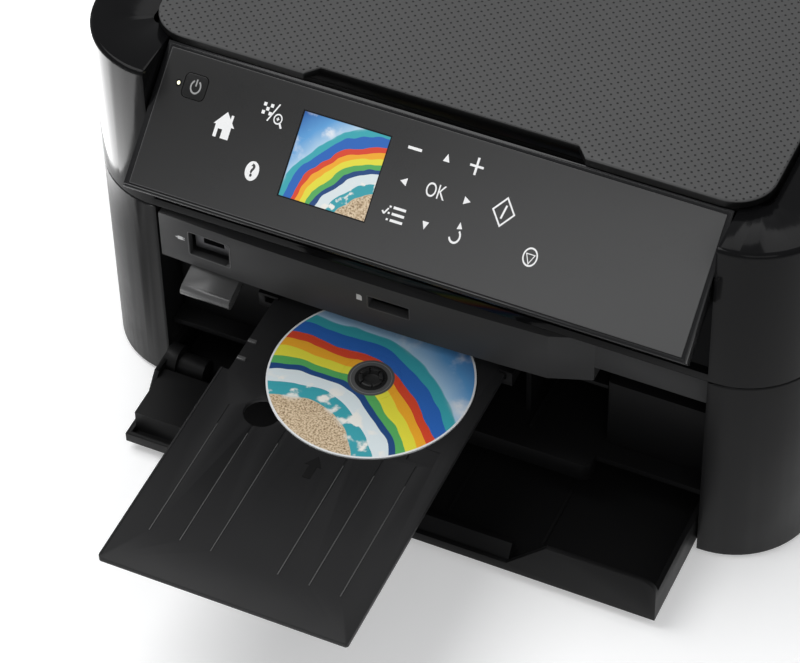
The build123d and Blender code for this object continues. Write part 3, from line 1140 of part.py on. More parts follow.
def lid_hinge_mounts():
    """Ears and pins of the lid's hinges, on the rear of the ring."""
    mounts = []
    for side in (-1, 1):
        x = side * LID_HINGE_X
        mount = along_x(LID_PIN_R, middle(x, 24), LID_HINGE_Y, LID_HINGE_Z)
        for ear in (-1, 1):
            ear_x = middle(x + ear * 10, 4)
            mount += block(ear_x, middle(LID_HINGE_Y, 5.6), (SHOULDER_Z, LID_HINGE_Z))
            mount += along_x(2.8, ear_x, LID_HINGE_Y, LID_HINGE_Z)
        mounts.append(mount)
    return mounts


# ---- Control panel, built flat and then tilted --------------------------------------------------
def panel_place():
    """Plane of the panel's face: X right, Y up along the face from its top edge, Z out of it."""
    tilt = radians(PANEL_TILT)
    return Plane((0, PANEL_TOP_Y, SHOULDER_Z), x_dir=(1, 0, 0), z_dir=(0, -cos(tilt), sin(tilt)))


def tilted(solid):
    """Move a piece from the flat panel's own frame to its place."""
    return panel_place().location * solid


def panel_housing():
    """Back shell of the control panel, with bosses for its hinge pins."""
    shell = block((-HALF_PANEL, HALF_PANEL), (-PANEL_HEIGHT, 0), (-PANEL_THICKNESS, 0))
    back_edges = shell.edges().filter_by(Axis.X).group_by(Axis.Z)[0]
    shell = soften(shell, back_edges, 3.5)
    x, y = HALF_PANEL - FACE_MARGIN, (-PANEL_HEIGHT + FACE_MARGIN, -FACE_MARGIN)
    shell -= block((-x, x), y, (-FACE_THICKNESS, 1))
    shell -= block((4 - x, x - 4), (y[0] + 3, y[1] - 9), (2 - PANEL_THICKNESS, -FACE_THICKNESS))
    shell = soften(shell, edges_at(shell, Axis.Z, 0).filter_by(Axis.X).group_by(Axis.Y)[0], 1.2)
    for bore in both(HALF_PANEL - PIN_BORE_DEPTH, HALF_PANEL + 1):
        shell -= along_x(PIN_RADIUS + PIN_PLAY, bore, -PANEL_PIN_DROP, -PANEL_PIN_SINK)
    return tilted(shell)


def panel_face():
    """Glossy face plate with a window for the screen and a hole for the power button."""
    margin = FACE_MARGIN + SLIP / 2
    x, y = HALF_PANEL - margin, (-PANEL_HEIGHT + margin, -margin)
    plate = block((-x, x), y, (-FACE_THICKNESS, FACE_PROUD))
    plate = soften(plate, edges_at(plate, Axis.Z, FACE_PROUD), 0.3)
    through = (-FACE_THICKNESS - 1, FACE_PROUD + 1)
    plate -= block(middle(LCD_CENTRE[0], LCD_SIZE[0]), middle(LCD_CENTRE[1], LCD_SIZE[1]), through)
    plate -= power_outline(SLIP, through)
    return tilted(plate)


def power_outline(gap, z):
    """Round-cornered square of the power button, wider by gap on each side."""
    size = POWER_SIZE + 2 * gap
    square = RectangleRounded(size, size, POWER_CORNER_R + gap)
    return Pos(POWER_CENTRE[0], POWER_CENTRE[1], z[0]) * extrude(square, z[1] - z[0])


def lcd_screen():
    """Screen module behind the face's window."""
    (x, y), (width, height) = LCD_CENTRE, LCD_SIZE
    screen = block(middle(x, width - SLIP), middle(y, height - SLIP), (-FACE_THICKNESS, -LCD_SINK))
    frame_x, frame_y = middle(x, width + 2 * LCD_FRAME), middle(y, height + 2 * LCD_FRAME)
    return tilted(screen + block(frame_x, frame_y, (-FACE_THICKNESS - LCD_FRAME, -FACE_THICKNESS)))


def panel_board():
    """Touch key board behind the face."""
    left = LCD_CENTRE[0] + LCD_SIZE[0] / 2 + LCD_FRAME + 4
    board = block((left, HALF_PANEL - 14), (10 - PANEL_HEIGHT, -FACE_MARGIN - 12),
                  (-FACE_THICKNESS - 1.8, -FACE_THICKNESS - 0.2))
    return tilted(board)


def power_button():
    """Power button with its stem."""
    x, y = POWER_CENTRE
    top, low = 0.5, 0.2 - FACE_THICKNESS
    button = power_outline(0, (low, top))
    button = soften(button, edges_at(button, Axis.Z, top), 0.4)
    return tilted(button + along_z(2.5, x, y, (low - 3.4, low + 0.2)))


# ---- Assembly -----------------------------------------------------------------------------------
NODES = {
    "base_pan": base_pan(), "lower_housing": lower_housing(), "case_screws": case_screws(),
    "rubber_feet": rubber_feet(), "rear_cover": rear_cover(), "power_inlet": power_inlet(),
    "rear_usb_socket": rear_usb_socket(), "front_bezel": front_bezel(), "usb_socket": usb_socket(),
    "card_socket": card_socket(), "paper_deck": paper_deck(), "bay_blocks": bay_blocks(),
    "tray_guides": tray_guides(), "disc_tray": disc_tray(), "disc_hub": disc_hub(),
    "label_disc": label_disc(), "tray_lever": tray_lever(),
    "paper_drawer": paper_drawer(), "edge_guide": edge_guide(), "chassis": chassis(),
    "carriage_shaft": carriage_shaft(), "platen": platen(), "capping_station": capping_station(),
    "print_carriage": print_carriage(), "print_head": print_head(), "ink_cartridges": ink_cartridges(),
    "belt_drive_pulley": belt_pulley(-BELT_X), "belt_idler_pulley": belt_pulley(BELT_X),
    "carriage_belt": carriage_belt(), "carriage_motor": carriage_motor(), "feed_motor": feed_motor(),
    "feed_pinion": feed_pinion(), "feed_roller": feed_roller(), "feed_gear": feed_gear(),
    "exit_roller": exit_roller(), "exit_gear": exit_gear(), "idler_gear": idler_gear(),
    "pickup_arm": pickup_arm(), "pickup_roller": pickup_roller(),
    "power_supply": power_supply(), "main_board": main_board(), "upper_housing": upper_housing(),
    "glass_frame": glass_frame(), "platen_glass": platen_glass(), "scanner_floor": scanner_floor(),
    "scan_rail": scan_rail(), "scan_head": scan_head(), "lower_hinges": lower_hinges(),
    "upper_hinges": upper_hinges(), "hinge_pins": hinge_pins(), "panel_pins": panel_pins(),
    "lid_cover": lid_cover(), "lid_pad": lid_pad(), "lid_hinge_arms": lid_hinge_arms(),
    "lid_hinge_mounts": lid_hinge_mounts(), "panel_housing": panel_housing(), "panel_face": panel_face(),
    "lcd_screen": lcd_screen(), "panel_board": panel_board(), "power_button": power_button(),
}

os.makedirs("parts", exist_ok=True)
for name, shape in NODES.items():
    solids = shape if isinstance(shape, list) else [shape]
    placed = [Pos(0, -DEPTH_MIDDLE, 0) * solid for solid in solids]
    export_step(placed[0] if len(placed) == 1 else Compound(placed), f"parts/{name}.step")
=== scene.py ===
import json
import logging
from dataclasses import dataclass, field
from enum import Enum
from math import cos, radians, sin

import bmesh
import bpy
from mathutils import Matrix, Vector
from mathutils.bvhtree import BVHTree


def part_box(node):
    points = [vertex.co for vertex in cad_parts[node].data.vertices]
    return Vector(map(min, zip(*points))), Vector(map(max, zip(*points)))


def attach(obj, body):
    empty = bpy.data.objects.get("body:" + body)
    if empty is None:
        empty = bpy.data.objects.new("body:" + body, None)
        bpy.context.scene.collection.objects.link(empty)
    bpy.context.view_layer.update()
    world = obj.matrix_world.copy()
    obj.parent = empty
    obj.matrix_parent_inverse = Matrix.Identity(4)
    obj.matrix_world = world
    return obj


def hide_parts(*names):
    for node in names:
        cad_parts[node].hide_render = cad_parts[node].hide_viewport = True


# Looks of a photo printer with a scanner lid, a tilting control panel and a tray that carries a
# printable disc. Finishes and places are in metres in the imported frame: X right, Y back, Z up.
# The pieces are drawn in millimetres and scaled when they are put in that frame.

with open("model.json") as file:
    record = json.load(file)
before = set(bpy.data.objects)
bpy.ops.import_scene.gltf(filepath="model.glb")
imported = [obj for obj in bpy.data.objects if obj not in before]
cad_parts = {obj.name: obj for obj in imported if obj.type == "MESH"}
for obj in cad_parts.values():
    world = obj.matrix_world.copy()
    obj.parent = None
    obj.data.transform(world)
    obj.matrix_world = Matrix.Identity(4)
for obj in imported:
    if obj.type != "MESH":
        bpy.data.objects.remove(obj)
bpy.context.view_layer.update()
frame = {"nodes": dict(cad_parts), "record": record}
LOG = logging.getLogger("printer_looks")

MM = 0.001
Colour = tuple[float, float, float]
Value = "Signal | float"


# ---- Shader maths ---------------------------------------------------------------------------------
class Signal:
    """Output socket of a finish's node tree that takes part in Python arithmetic."""

    def __init__(self, graph: "Graph", socket: bpy.types.NodeSocket) -> None:
        """Keep the socket and the graph that it belongs to."""
        self.graph = graph
        self.socket = socket

    def maths(self, operation: str, *others: Value) -> "Signal":
        """Value of a Math node that is fed by this signal and the other operands."""
        sockets = dict(enumerate((self, *others)))
        return self.graph.node("ShaderNodeMath", {"operation": operation}, sockets)

    def __add__(self, other: Value) -> "Signal":
        """self + other."""
        return self.maths("ADD", other)

    def __sub__(self, other: Value) -> "Signal":
        """self - other."""
        return self.maths("SUBTRACT", other)

    def __rsub__(self, other: float) -> "Signal":
        """other - self."""
        return self.graph.node("ShaderNodeMath", {"operation": "SUBTRACT"}, {0: other, 1: self})

    def __mul__(self, other: Value) -> "Signal":
        """self * other."""
        return self.maths("MULTIPLY", other)

    def __truediv__(self, other: Value) -> "Signal":
        """self / other."""
        return self.maths("DIVIDE", other)

    def __pow__(self, other: Value) -> "Signal":
        """self to the power of other."""
        return self.maths("POWER", other)

    def band(self, zero: float, one: float) -> "Signal":
        """Smooth step between two values.

        Args:
            zero: Value at which the step is 0.
            one: Value at which it is 1. The step falls where this is the smaller one.

        Returns:
            The step.
        """
        sockets = {0: self, 1: min(zero, one), 2: max(zero, one)}
        step = self.graph.node("ShaderNodeMapRange", {"interpolation_type": "SMOOTHSTEP"}, sockets)
        return step if zero < one else 1 - step

    def cell(self, pitch: float, shift: float = 0.0) -> "Signal":
        """Distance from the middle of the nearest cell of a row of cells, in the value's own unit."""
        return ((self / pitch + shift).maths("FRACT") - 0.5) * pitch


class Graph:
    """Node tree of one finish, ending in a Principled shader."""

    def __init__(self, name: str) -> None:
        """Make the material with its shader and output.

        Args:
            name: Name of the material.
        """
        self.material = bpy.data.materials.new(name)
        self.material.use_nodes = True
        self.tree = self.material.node_tree
        self.tree.nodes.clear()
        self.shader = self.tree.nodes.new("ShaderNodeBsdfPrincipled")
        self.output = self.tree.nodes.new("ShaderNodeOutputMaterial")
        self.tree.links.new(self.shader.outputs[0], self.output.inputs["Surface"])

    def node(self, kind: str, settings: dict | None = None, sockets: dict | None = None,
             out: int = 0) -> Signal:
        """Add a node.

        Args:
            kind: The node's type.
            settings: Attributes, set first; "stops" gives a ramp's stops and whether it goes in steps.
            sockets: Values or signals of its inputs, by index or name.
            out: Index of the output that is returned.

        Returns:
            The chosen output.
        """
        node = self.tree.nodes.new(kind)
        for key, value in (settings or {}).items():
            if key == "stops":
                self.set_stops(node.color_ramp, *value)
            else:
                setattr(node, key, value)
        for key, value in (sockets or {}).items():
            self.plug(value, node.inputs[key])
        return Signal(self, node.outputs[out])

    def plug(self, value: "Signal | float | Colour", socket: bpy.types.NodeSocket) -> None:
        """Link a signal to a socket, or write a plain value on it.

        Args:
            value: The signal, number or colour.
            socket: The input.
        """
        if isinstance(value, Signal):
            self.tree.links.new(value.socket, socket)
        elif isinstance(value, tuple) and len(socket.default_value) == 4:
            socket.default_value = (*value, 1.0)
        else:
            socket.default_value = value

    def set(self, **values: "Signal | float | Colour") -> None:
        """Set the shader's sockets; an underscore in a name stands for a space."""
        for name, value in values.items():
            self.plug(value, self.shader.inputs[name.replace("_", " ")])

    def place(self) -> Signal:
        """Object coordinates."""
        return self.node("ShaderNodeTexCoord", out=3)

    def axes(self) -> tuple[Signal, Signal, Signal]:
        """Split the object coordinates.

        Returns:
            X, Y and Z.
        """
        split = self.node("ShaderNodeSeparateXYZ", sockets={0: self.place()})
        outputs = split.socket.node.outputs
        return tuple(Signal(self, outputs[index]) for index in range(3))

    def noise(self, size: float, detail: float = 2.0,
              stretch: tuple[float, float, float] = (1.0, 1.0, 1.0)) -> Signal:
        """Add noise in object coordinates.

        Args:
            size: Rough width of its blotches, in metres.
            detail: Number of finer layers.
            stretch: How far the blotches are drawn out along each axis.

        Returns:
            The noise, about 0.5 on average.
        """
        scale = tuple(1 / factor for factor in stretch)
        vector = self.node("ShaderNodeMapping", sockets={0: self.place(), 3: scale})
        sockets = {"Vector": vector, "Scale": 1 / size, "Detail": detail}
        return self.node("ShaderNodeTexNoise", sockets=sockets)

    def cells(self, size: float) -> Signal:
        """Distance from the nearest of many scattered points about size metres apart."""
        return self.node("ShaderNodeTexVoronoi", sockets={"Vector": self.place(), "Scale": 1 / size})

    def mix(self, low: "Signal | Colour", high: "Signal | Colour", factor: Signal) -> Signal:
        """Colour between two others."""
        return self.node("ShaderNodeMix", {"data_type": "RGBA"}, {0: factor, 6: low, 7: high}, out=2)

    def ramp(self, stops: list[tuple[float, Colour]], factor: Signal, steps: bool = False) -> Signal:
        """Colour read from a ramp, in steps or smoothly."""
        return self.node("ShaderNodeValToRGB", {"stops": (stops, steps)}, {0: factor})

    @staticmethod
    def set_stops(ramp: bpy.types.ColorRamp, stops: list[tuple[float, Colour]], steps: bool) -> None:
        """Write a ramp's stops.

        Args:
            ramp: The ramp.
            stops: Position and colour of each stop.
            steps: Whether the colour goes in steps.
        """
        ramp.interpolation = "CONSTANT" if steps else "LINEAR"
        while len(ramp.elements) < len(stops):
            ramp.elements.new(1.0)
        for element, (position, colour) in zip(ramp.elements, stops):
            element.position = position
            element.color = (*colour, 1.0)

    def bump(self, height: Signal, depth: float) -> None:
        """Feed a height into the shader's normal."""
        self.set(Normal=self.node("ShaderNodeBump", sockets={"Height": height, "Distance": depth}))


def shade(colour: Colour, factor: float) -> Colour:
    """Colour made lighter or darker."""
    return tuple(min(1.0, channel * factor) for channel in colour)


# ---- Finishes -------------------------------------------------------------------------------------
class Finish:
    """Look of a surface. Each finish paints its own node tree."""

    def build(self, name: str) -> bpy.types.Material:
        """Make the material.

        Args:
            name: Name of the material.

        Returns:
            The material.
        """
        graph = Graph(name)
        self.paint(graph)
        return graph.material

    def paint(self, graph: Graph) -> None:
        """Fill a fresh node tree."""
        raise NotImplementedError


@dataclass(frozen=True)
class Moulded(Finish):
    """Injection moulded plastic: fine grain, slow change of tone, uneven gloss."""

    colour: Colour
    roughness: float = 0.45
    grain: float = 0.6 * MM
    depth: float = 0.02 * MM
    tone: float = 0.12
    specular: float = 0.3
    tone_size: float = 70 * MM
    gloss_size: float = 25 * MM

    def paint(self, graph: Graph) -> None:
        """Fill the node tree.

        Args:
            graph: Node tree of the finish.
        """
        grain = graph.noise(self.grain, 3.0)
        broad = graph.noise(self.tone_size)
        colour = graph.mix(shade(self.colour, 1 - self.tone), shade(self.colour, 1 + self.tone), broad)
        uneven = graph.noise(self.gloss_size, 4.0)
        graph.set(Base_Color=colour, Specular_IOR_Level=self.specular,
                  Roughness=(grain - 0.5) * 0.10 + (uneven - 0.5) * 0.16 + self.roughness)
        graph.bump(grain, self.depth)


@dataclass(frozen=True)
class DimpledLid(Finish):
    """Dark grey lid with small dimples on a staggered lattice; the dimples and the sides below its top are
    painted near black as shade.
    """

    top_z: float
    colour: Colour = (0.066, 0.066, 0.066)
    # Painted shade: colour of the sides, rim and recess below the top.
    side: Colour = (0.006, 0.006, 0.006)
    # Painted shade inside the dimples.
    dimple: Colour = (0.006, 0.006, 0.006)
    pitch: tuple[float, float] = (5.92 * MM, 5.13 * MM)
    radius: float = 0.66 * MM
    depth: float = 0.12 * MM

    def paint(self, graph: Graph) -> None:
        """Fill the node tree.

        Args:
            graph: Node tree of the finish.
        """
        x, y, z = graph.axes()
        dots = None
        for shift in (0.0, 0.5):
            across, along = x.cell(self.pitch[0], shift), y.cell(self.pitch[1], shift)
            away = (across * across + along * along) ** 0.5
            dot = away.band(self.radius * 1.35, self.radius * 0.65)
            dots = dot if dots is None else dots.maths("MAXIMUM", dot)
        dots = dots * z.band(self.top_z - 0.5 * MM, self.top_z - 0.2 * MM)
        grain = graph.noise(0.9 * MM, 3.0)
        tone = graph.noise(120 * MM)
        colour = graph.mix(shade(self.colour, 0.9), shade(self.colour, 1.12), tone * 0.6 + grain * 0.4)
        # Painted shade: everything below the top skin takes the near black side colour.
        top = z.band(self.top_z - 1.3 * MM, self.top_z - 0.7 * MM)
        colour = graph.mix(self.side, graph.mix(colour, self.dimple, dots), top)
        graph.set(Base_Color=colour, Specular_IOR_Level=0.2, Roughness=grain * 0.12 + top * 0.2 + 0.24)
        graph.bump(grain * 0.15 - dots, self.depth)


@dataclass(frozen=True)
class Metal(Finish):
    """Sheet, turned or plated metal with fine lines along one axis."""

    colour: Colour
    roughness: float = 0.3
    lines: tuple[float, float, float] = (30.0, 1.0, 1.0)
    spangle: float = 0.0
    spangle_size: float = 6 * MM

    def paint(self, graph: Graph) -> None:
        """Fill the node tree.

        Args:
            graph: Node tree of the finish.
        """
        lines = graph.noise(0.4 * MM, 3.0, self.lines)
        stain = graph.noise(30 * MM, 4.0)
        factor = lines * 0.5 + stain * 0.5
        if self.spangle:
            factor = factor * (1 - self.spangle) + graph.cells(self.spangle_size) * self.spangle
        graph.set(Base_Color=graph.mix(shade(self.colour, 0.78), shade(self.colour, 1.08), factor),
                  Metallic=1.0, Roughness=lines * 0.14 + stain * 0.1 + self.roughness)
        graph.bump(lines, 0.01 * MM)


@dataclass(frozen=True)
class Rubber(Finish):
    """Matt rubber with a bloom of fine dust."""

    colour: Colour = (0.022, 0.022, 0.023)

    def paint(self, graph: Graph) -> None:
        """Fill the node tree.

        Args:
            graph: Node tree of the finish.
        """
        bloom = graph.noise(8 * MM, 5.0)
        graph.set(Base_Color=graph.mix(self.colour, shade(self.colour, 2.2), bloom.band(0.4, 0.75)),
                  Roughness=bloom * 0.2 + 0.7, Specular_IOR_Level=0.25)
        graph.bump(graph.noise(0.5 * MM, 3.0), 0.04 * MM)


@dataclass(frozen=True)
class ClearGlass(Finish):
    """Float glass of the scanner's bed, with a trace of dust."""

    colour: Colour = (0.82, 0.93, 0.9)
    clearness: float = 0.94

    def paint(self, graph: Graph) -> None:
        """Fill the node tree.

        Args:
            graph: Node tree of the finish.
        """
        smear = graph.noise(40 * MM, 5.0).band(0.5, 0.8)
        graph.set(Base_Color=self.colour, Roughness=smear * 0.06 + 0.02, IOR=1.5,
                  Transmission_Weight=self.clearness)


@dataclass(frozen=True)
class FoamSheet(Finish):
    """White closed-cell foam with pores."""

    colour: Colour = (0.78, 0.78, 0.75)
    pore: float = 1.1 * MM

    def paint(self, graph: Graph) -> None:
        """Fill the node tree.

        Args:
            graph: Node tree of the finish.
        """
        pores = graph.cells(self.pore)
        stain = graph.noise(60 * MM, 3.0)
        clean = pores.band(0.0, 0.5) * stain.band(0.2, 0.6)
        graph.set(Base_Color=graph.mix(shade(self.colour, 0.88), self.colour, clean),
                  Roughness=0.85, Specular_IOR_Level=0.2)
        graph.bump(pores, 0.25 * MM)


@dataclass(frozen=True)
class CircuitBoard(Finish):
    """Green solder mask over copper tracks, with bright pads."""

    mask: Colour = (0.012, 0.11, 0.04)
    track: Colour = (0.03, 0.2, 0.08)
    pad: Colour = (0.75, 0.72, 0.6)

    def paint(self, graph: Graph) -> None:
        """Fill the node tree.

        Args:
            graph: Node tree of the finish.
        """
        x, y, z = graph.axes()
        across = (y + x).cell(2.6 * MM).maths("ABSOLUTE").band(0.45 * MM, 0.3 * MM)
        along = z.cell(3.1 * MM).maths("ABSOLUTE").band(0.4 * MM, 0.28 * MM)
        which = graph.noise(14 * MM, 1.0).band(0.48, 0.52)
        tracks = across * which + along * (1 - which)
        from_pad = (y + x).cell(7.8 * MM) ** 2.0 + z.cell(6.2 * MM) ** 2.0
        pads = from_pad.band(1.2 * MM * MM, 0.7 * MM * MM)
        colour = graph.mix(self.mask, self.track, tracks)
        graph.set(Base_Color=graph.mix(colour, self.pad, pads), Metallic=pads * 0.9,
                  Roughness=graph.noise(5 * MM) * 0.2 + 0.25)
        graph.bump(tracks + pads, 0.05 * MM)


# The design's arcs, from the sand in its far corner out to the sky.
STRIPES: list[tuple[float, Colour]] = [
    (0.0, (0.62, 0.48, 0.33)), (0.34, (0.05, 0.36, 0.42)), (0.41, (0.72, 0.80, 0.82)),
    (0.47, (0.02, 0.07, 0.22)), (0.50, (0.10, 0.42, 0.12)), (0.535, (0.80, 0.74, 0.06)),
    (0.575, (0.90, 0.42, 0.03)), (0.61, (0.72, 0.07, 0.03)), (0.645, (0.03, 0.14, 0.50)),
    (0.71, (0.05, 0.40, 0.46)), (0.76, (0.45, 0.64, 0.84)), (0.86, (0.16, 0.38, 0.70)),
    (0.95, (0.05, 0.19, 0.48)),
]
SAND: list[tuple[float, Colour]] = [
    (0.3, (0.16, 0.10, 0.05)), (0.45, (0.50, 0.37, 0.23)), (0.6, (0.74, 0.60, 0.42))]
SKY: list[tuple[float, Colour]] = [
    (0.74, (0.50, 0.70, 0.86)), (0.86, (0.12, 0.36, 0.70)), (1.0, (0.02, 0.11, 0.38))]
CLOUD_WHITE: Colour = (0.86, 0.89, 0.93)
SURF_WHITE: Colour = (0.88, 0.86, 0.80)


@dataclass(frozen=True)
class ArcArt:
    """Generic design: wide arcs of sand, teal, rainbow stripes and sky about a far corner."""

    centre: tuple[float, float]
    reach: float
    cloud: float
    speck: float = 1.1 * MM

    def colour(self, graph: Graph, across: Signal, up: Signal) -> Signal:
        """Colour of the design.

        Args:
            graph: Node tree that it is drawn in.
            across: Distance right of the surface's middle, in metres.
            up: Distance above its middle, in metres.

        Returns:
            The colour.
        """
        right, high = across - self.centre[0], up - self.centre[1]
        away = (right * right + high * high) ** 0.5 / self.reach
        wave = (graph.noise(self.cloud * 1.6) - 0.5) * 0.10
        edge = away + wave
        arcs = graph.ramp(STRIPES, edge, steps=True)
        sand = graph.ramp(SAND, graph.noise(self.speck, 4.0))
        arcs = graph.mix(arcs, sand, edge.band(0.345, 0.335))
        sky = graph.ramp(SKY, edge)
        arcs = graph.mix(arcs, sky, edge.band(0.755, 0.765))
        clouds = graph.noise(self.cloud, 6.0).band(0.50, 0.68) * edge.band(0.74, 0.8)
        arcs = graph.mix(arcs, CLOUD_WHITE, clouds)
        surf = graph.noise(self.cloud * 0.4, 5.0).band(0.52, 0.62)
        surf = surf * edge.band(0.32, 0.36) * edge.band(0.48, 0.42)
        return graph.mix(arcs, SURF_WHITE, surf)


@dataclass(frozen=True)
class PrintedDisc(Finish):
    """Printable disc: the design, a pale rim, and the clear middle with its stacking ring."""

    centre: tuple[float, float]
    radius: float = 60 * MM
    art: ArcArt = ArcArt((-30 * MM, -82 * MM), 150 * MM, 26 * MM)
    rim: Colour = (0.80, 0.82, 0.83)
    clear: Colour = (0.085, 0.085, 0.085)
    middle: Colour = (0.012, 0.012, 0.012)
    ring: Colour = (0.2, 0.2, 0.2)

    def paint(self, graph: Graph) -> None:
        """Fill the node tree.

        Args:
            graph: Node tree of the finish.
        """
        x, y, _ = graph.axes()
        across, up = x - self.centre[0], y - self.centre[1]
        away = (across * across + up * up) ** 0.5
        colour = self.art.colour(graph, across, up)
        at_rim = away.band(self.radius - 1.3 * MM, self.radius - 1.0 * MM)
        colour = graph.mix(colour, self.rim, at_rim)
        colour = graph.mix(self.clear, colour, away.band(13.3 * MM, 13.7 * MM))
        colour = graph.mix(self.middle, colour, away.band(9.3 * MM, 9.6 * MM))
        ring = away.band(11.6 * MM, 11.8 * MM) * away.band(12.2 * MM, 12.0 * MM)
        grain = graph.noise(0.3 * MM)
        graph.set(Base_Color=graph.mix(colour, self.ring, ring), Roughness=grain * 0.1 + 0.24,
                  Specular_IOR_Level=0.4, Coat_Weight=0.25, Coat_Roughness=0.05)
        graph.bump(grain + ring, 0.01 * MM)


@dataclass(frozen=True)
class Tilt:
    """Frame of the control panel: origin at the middle of its top edge, X right, Y up, Z out."""

    origin: tuple[float, float, float]
    tilt: float

    def matrix(self) -> Matrix:
        """Place of the panel.

        Returns:
            Matrix from the panel's frame to the row frame.
        """
        c, s = cos(radians(self.tilt)), sin(radians(self.tilt))
        turn = Matrix(((1, 0, 0), (0, s, -c), (0, c, s))).to_4x4()
        return Matrix.Translation(self.origin) @ turn

    def flat(self, graph: Graph) -> tuple[Signal, Signal]:
        """Read the place on the panel's face from object coordinates.

        Args:
            graph: Node tree that reads it.

        Returns:
            X and Y on the face.
        """
        x, y, z = graph.axes()
        c, s = cos(radians(self.tilt)), sin(radians(self.tilt))
        return x - self.origin[0], (y - self.origin[1]) * s + (z - self.origin[2]) * c


@dataclass(frozen=True)
class LitScreen(Finish):
    """Screen that shows the design, bright behind its glass, with a dark surround."""

    tilt: Tilt
    middle: tuple[float, float]
    size: tuple[float, float]
    art: ArcArt = ArcArt((34 * MM, -36 * MM), 84 * MM, 12 * MM)
    glass: Colour = (0.01, 0.01, 0.012)
    brightness: float = 0.95

    def paint(self, graph: Graph) -> None:
        """Fill the node tree.

        Args:
            graph: Node tree of the finish.
        """
        x, y = self.tilt.flat(graph)
        across, up = x - self.middle[0], y - self.middle[1]
        inside_x, inside_y = (
            place.maths("ABSOLUTE").band(size / 2 - 0.5 * MM, size / 2 - 0.8 * MM)
            for place, size in zip((across, up), self.size))
        picture = graph.mix((0.0, 0.0, 0.0), self.art.colour(graph, across, up), inside_x * inside_y)
        graph.set(Base_Color=self.glass, Emission_Color=picture, Emission_Strength=self.brightness,
                  Roughness=graph.noise(20 * MM) * 0.04 + 0.1, Specular_IOR_Level=0.3)


@dataclass(frozen=True)
class SmokedFacePaintedReflection(Finish):
    """Dark glossy face plate, with a painted reflection that makes it grow lighter towards its lower right.
    """

    tilt: Tilt
    dark: Colour = (0.022, 0.022, 0.022)
    light: Colour = (0.086, 0.086, 0.086)
    half_width: float = 165 * MM
    height: float = 80 * MM

    def paint(self, graph: Graph) -> None:
        """Fill the node tree.

        Args:
            graph: Node tree of the finish.
        """
        x, y = self.tilt.flat(graph)
        # Painted reflection: the base colour grows lighter from the face's upper left to its lower right.
        painted_reflection_slope = x / (2 * self.half_width) + 0.5 - y / self.height * 0.42
        grain = graph.noise(0.35 * MM, 3.0)
        tone = painted_reflection_slope.band(0.05, 1.35) + (graph.noise(90 * MM) - 0.5) * 0.06 + (grain - 0.5) * 0.05
        graph.set(Base_Color=graph.mix(self.dark, self.light, tone), Specular_IOR_Level=0.12,
                  Roughness=grain * 0.08 + graph.noise(35 * MM, 4.0) * 0.1 + 0.2)
        graph.bump(grain, 0.006 * MM)


@dataclass(frozen=True)
class Ink(Finish):
    """Printed or painted mark, with a slightly uneven edge to its coverage."""

    colour: Colour
    glow: float = 0.0

    def paint(self, graph: Graph) -> None:
        """Fill the node tree.

        Args:
            graph: Node tree of the finish.
        """
        cover = graph.noise(0.8 * MM, 3.0)
        colour = graph.mix(shade(self.colour, 0.9), self.colour, cover)
        graph.set(Base_Color=colour, Roughness=cover * 0.1 + 0.4)
        if self.glow:
            graph.set(Emission_Color=colour, Emission_Strength=self.glow)


# ---- Modelling helpers ----------------------------------------------------------------------------
def add_object(name: str, data: bpy.types.ID) -> bpy.types.Object:
    """Put a new object in the scene.

    Args:
        name: Its name.
        data: Its mesh, light or camera.

    Returns:
        The object.
    """
    item = bpy.data.objects.new(name, data)
    bpy.context.scene.collection.objects.link(item)
    return item


def extrude_copy(mesh: bmesh.types.BMesh, shift: Vector) -> list[bmesh.types.BMFace]:
    """Turn all flat faces into solids and keep the faces as their undersides.

    Args:
        mesh: Mesh of flat faces.
        shift: From the undersides to the tops.

    Returns:
        The undersides.
    """
    faces = list(mesh.faces)
    made = bmesh.ops.extrude_face_region(mesh, geom=faces, use_keep_orig=True)
    top = [item for item in made["geom"] if isinstance(item, bmesh.types.BMVert)]
    bmesh.ops.translate(mesh, verts=top, vec=shift)
    return faces


class Facing(Enum):
    """Direction in which marks are laid on a surface."""

    BACKWARDS = (0.0, 1.0, 0.0)
    DOWNWARDS = (0.0, 0.0, -1.0)


@dataclass(frozen=True)
class Landing:
    """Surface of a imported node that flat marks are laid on, and their height."""

    node: str
    facing: Facing
    height: float

    def lay(self, mesh: bmesh.types.BMesh) -> None:
        """Move every corner onto the surface, then raise the marks by their height.

        A ray that passes between two faces is tried again a little to either side.

        Args:
            mesh: Mesh of flat marks.
        """
        data = frame["nodes"][self.node].data
        surface = BVHTree.FromPolygons([v.co for v in data.vertices], [p.vertices for p in data.polygons])
        along = Vector(self.facing.value)
        across = along.orthogonal() * 0.02 * MM
        for vert in mesh.verts:
            starts = (vert.co + across * step for step in (0, 1, -1, 3, -3, 8, -8))
            vert.co = next(hit for hit in (surface.ray_cast(start, along)[0] for start in starts) if hit)
        extrude_copy(mesh, along * -self.height)


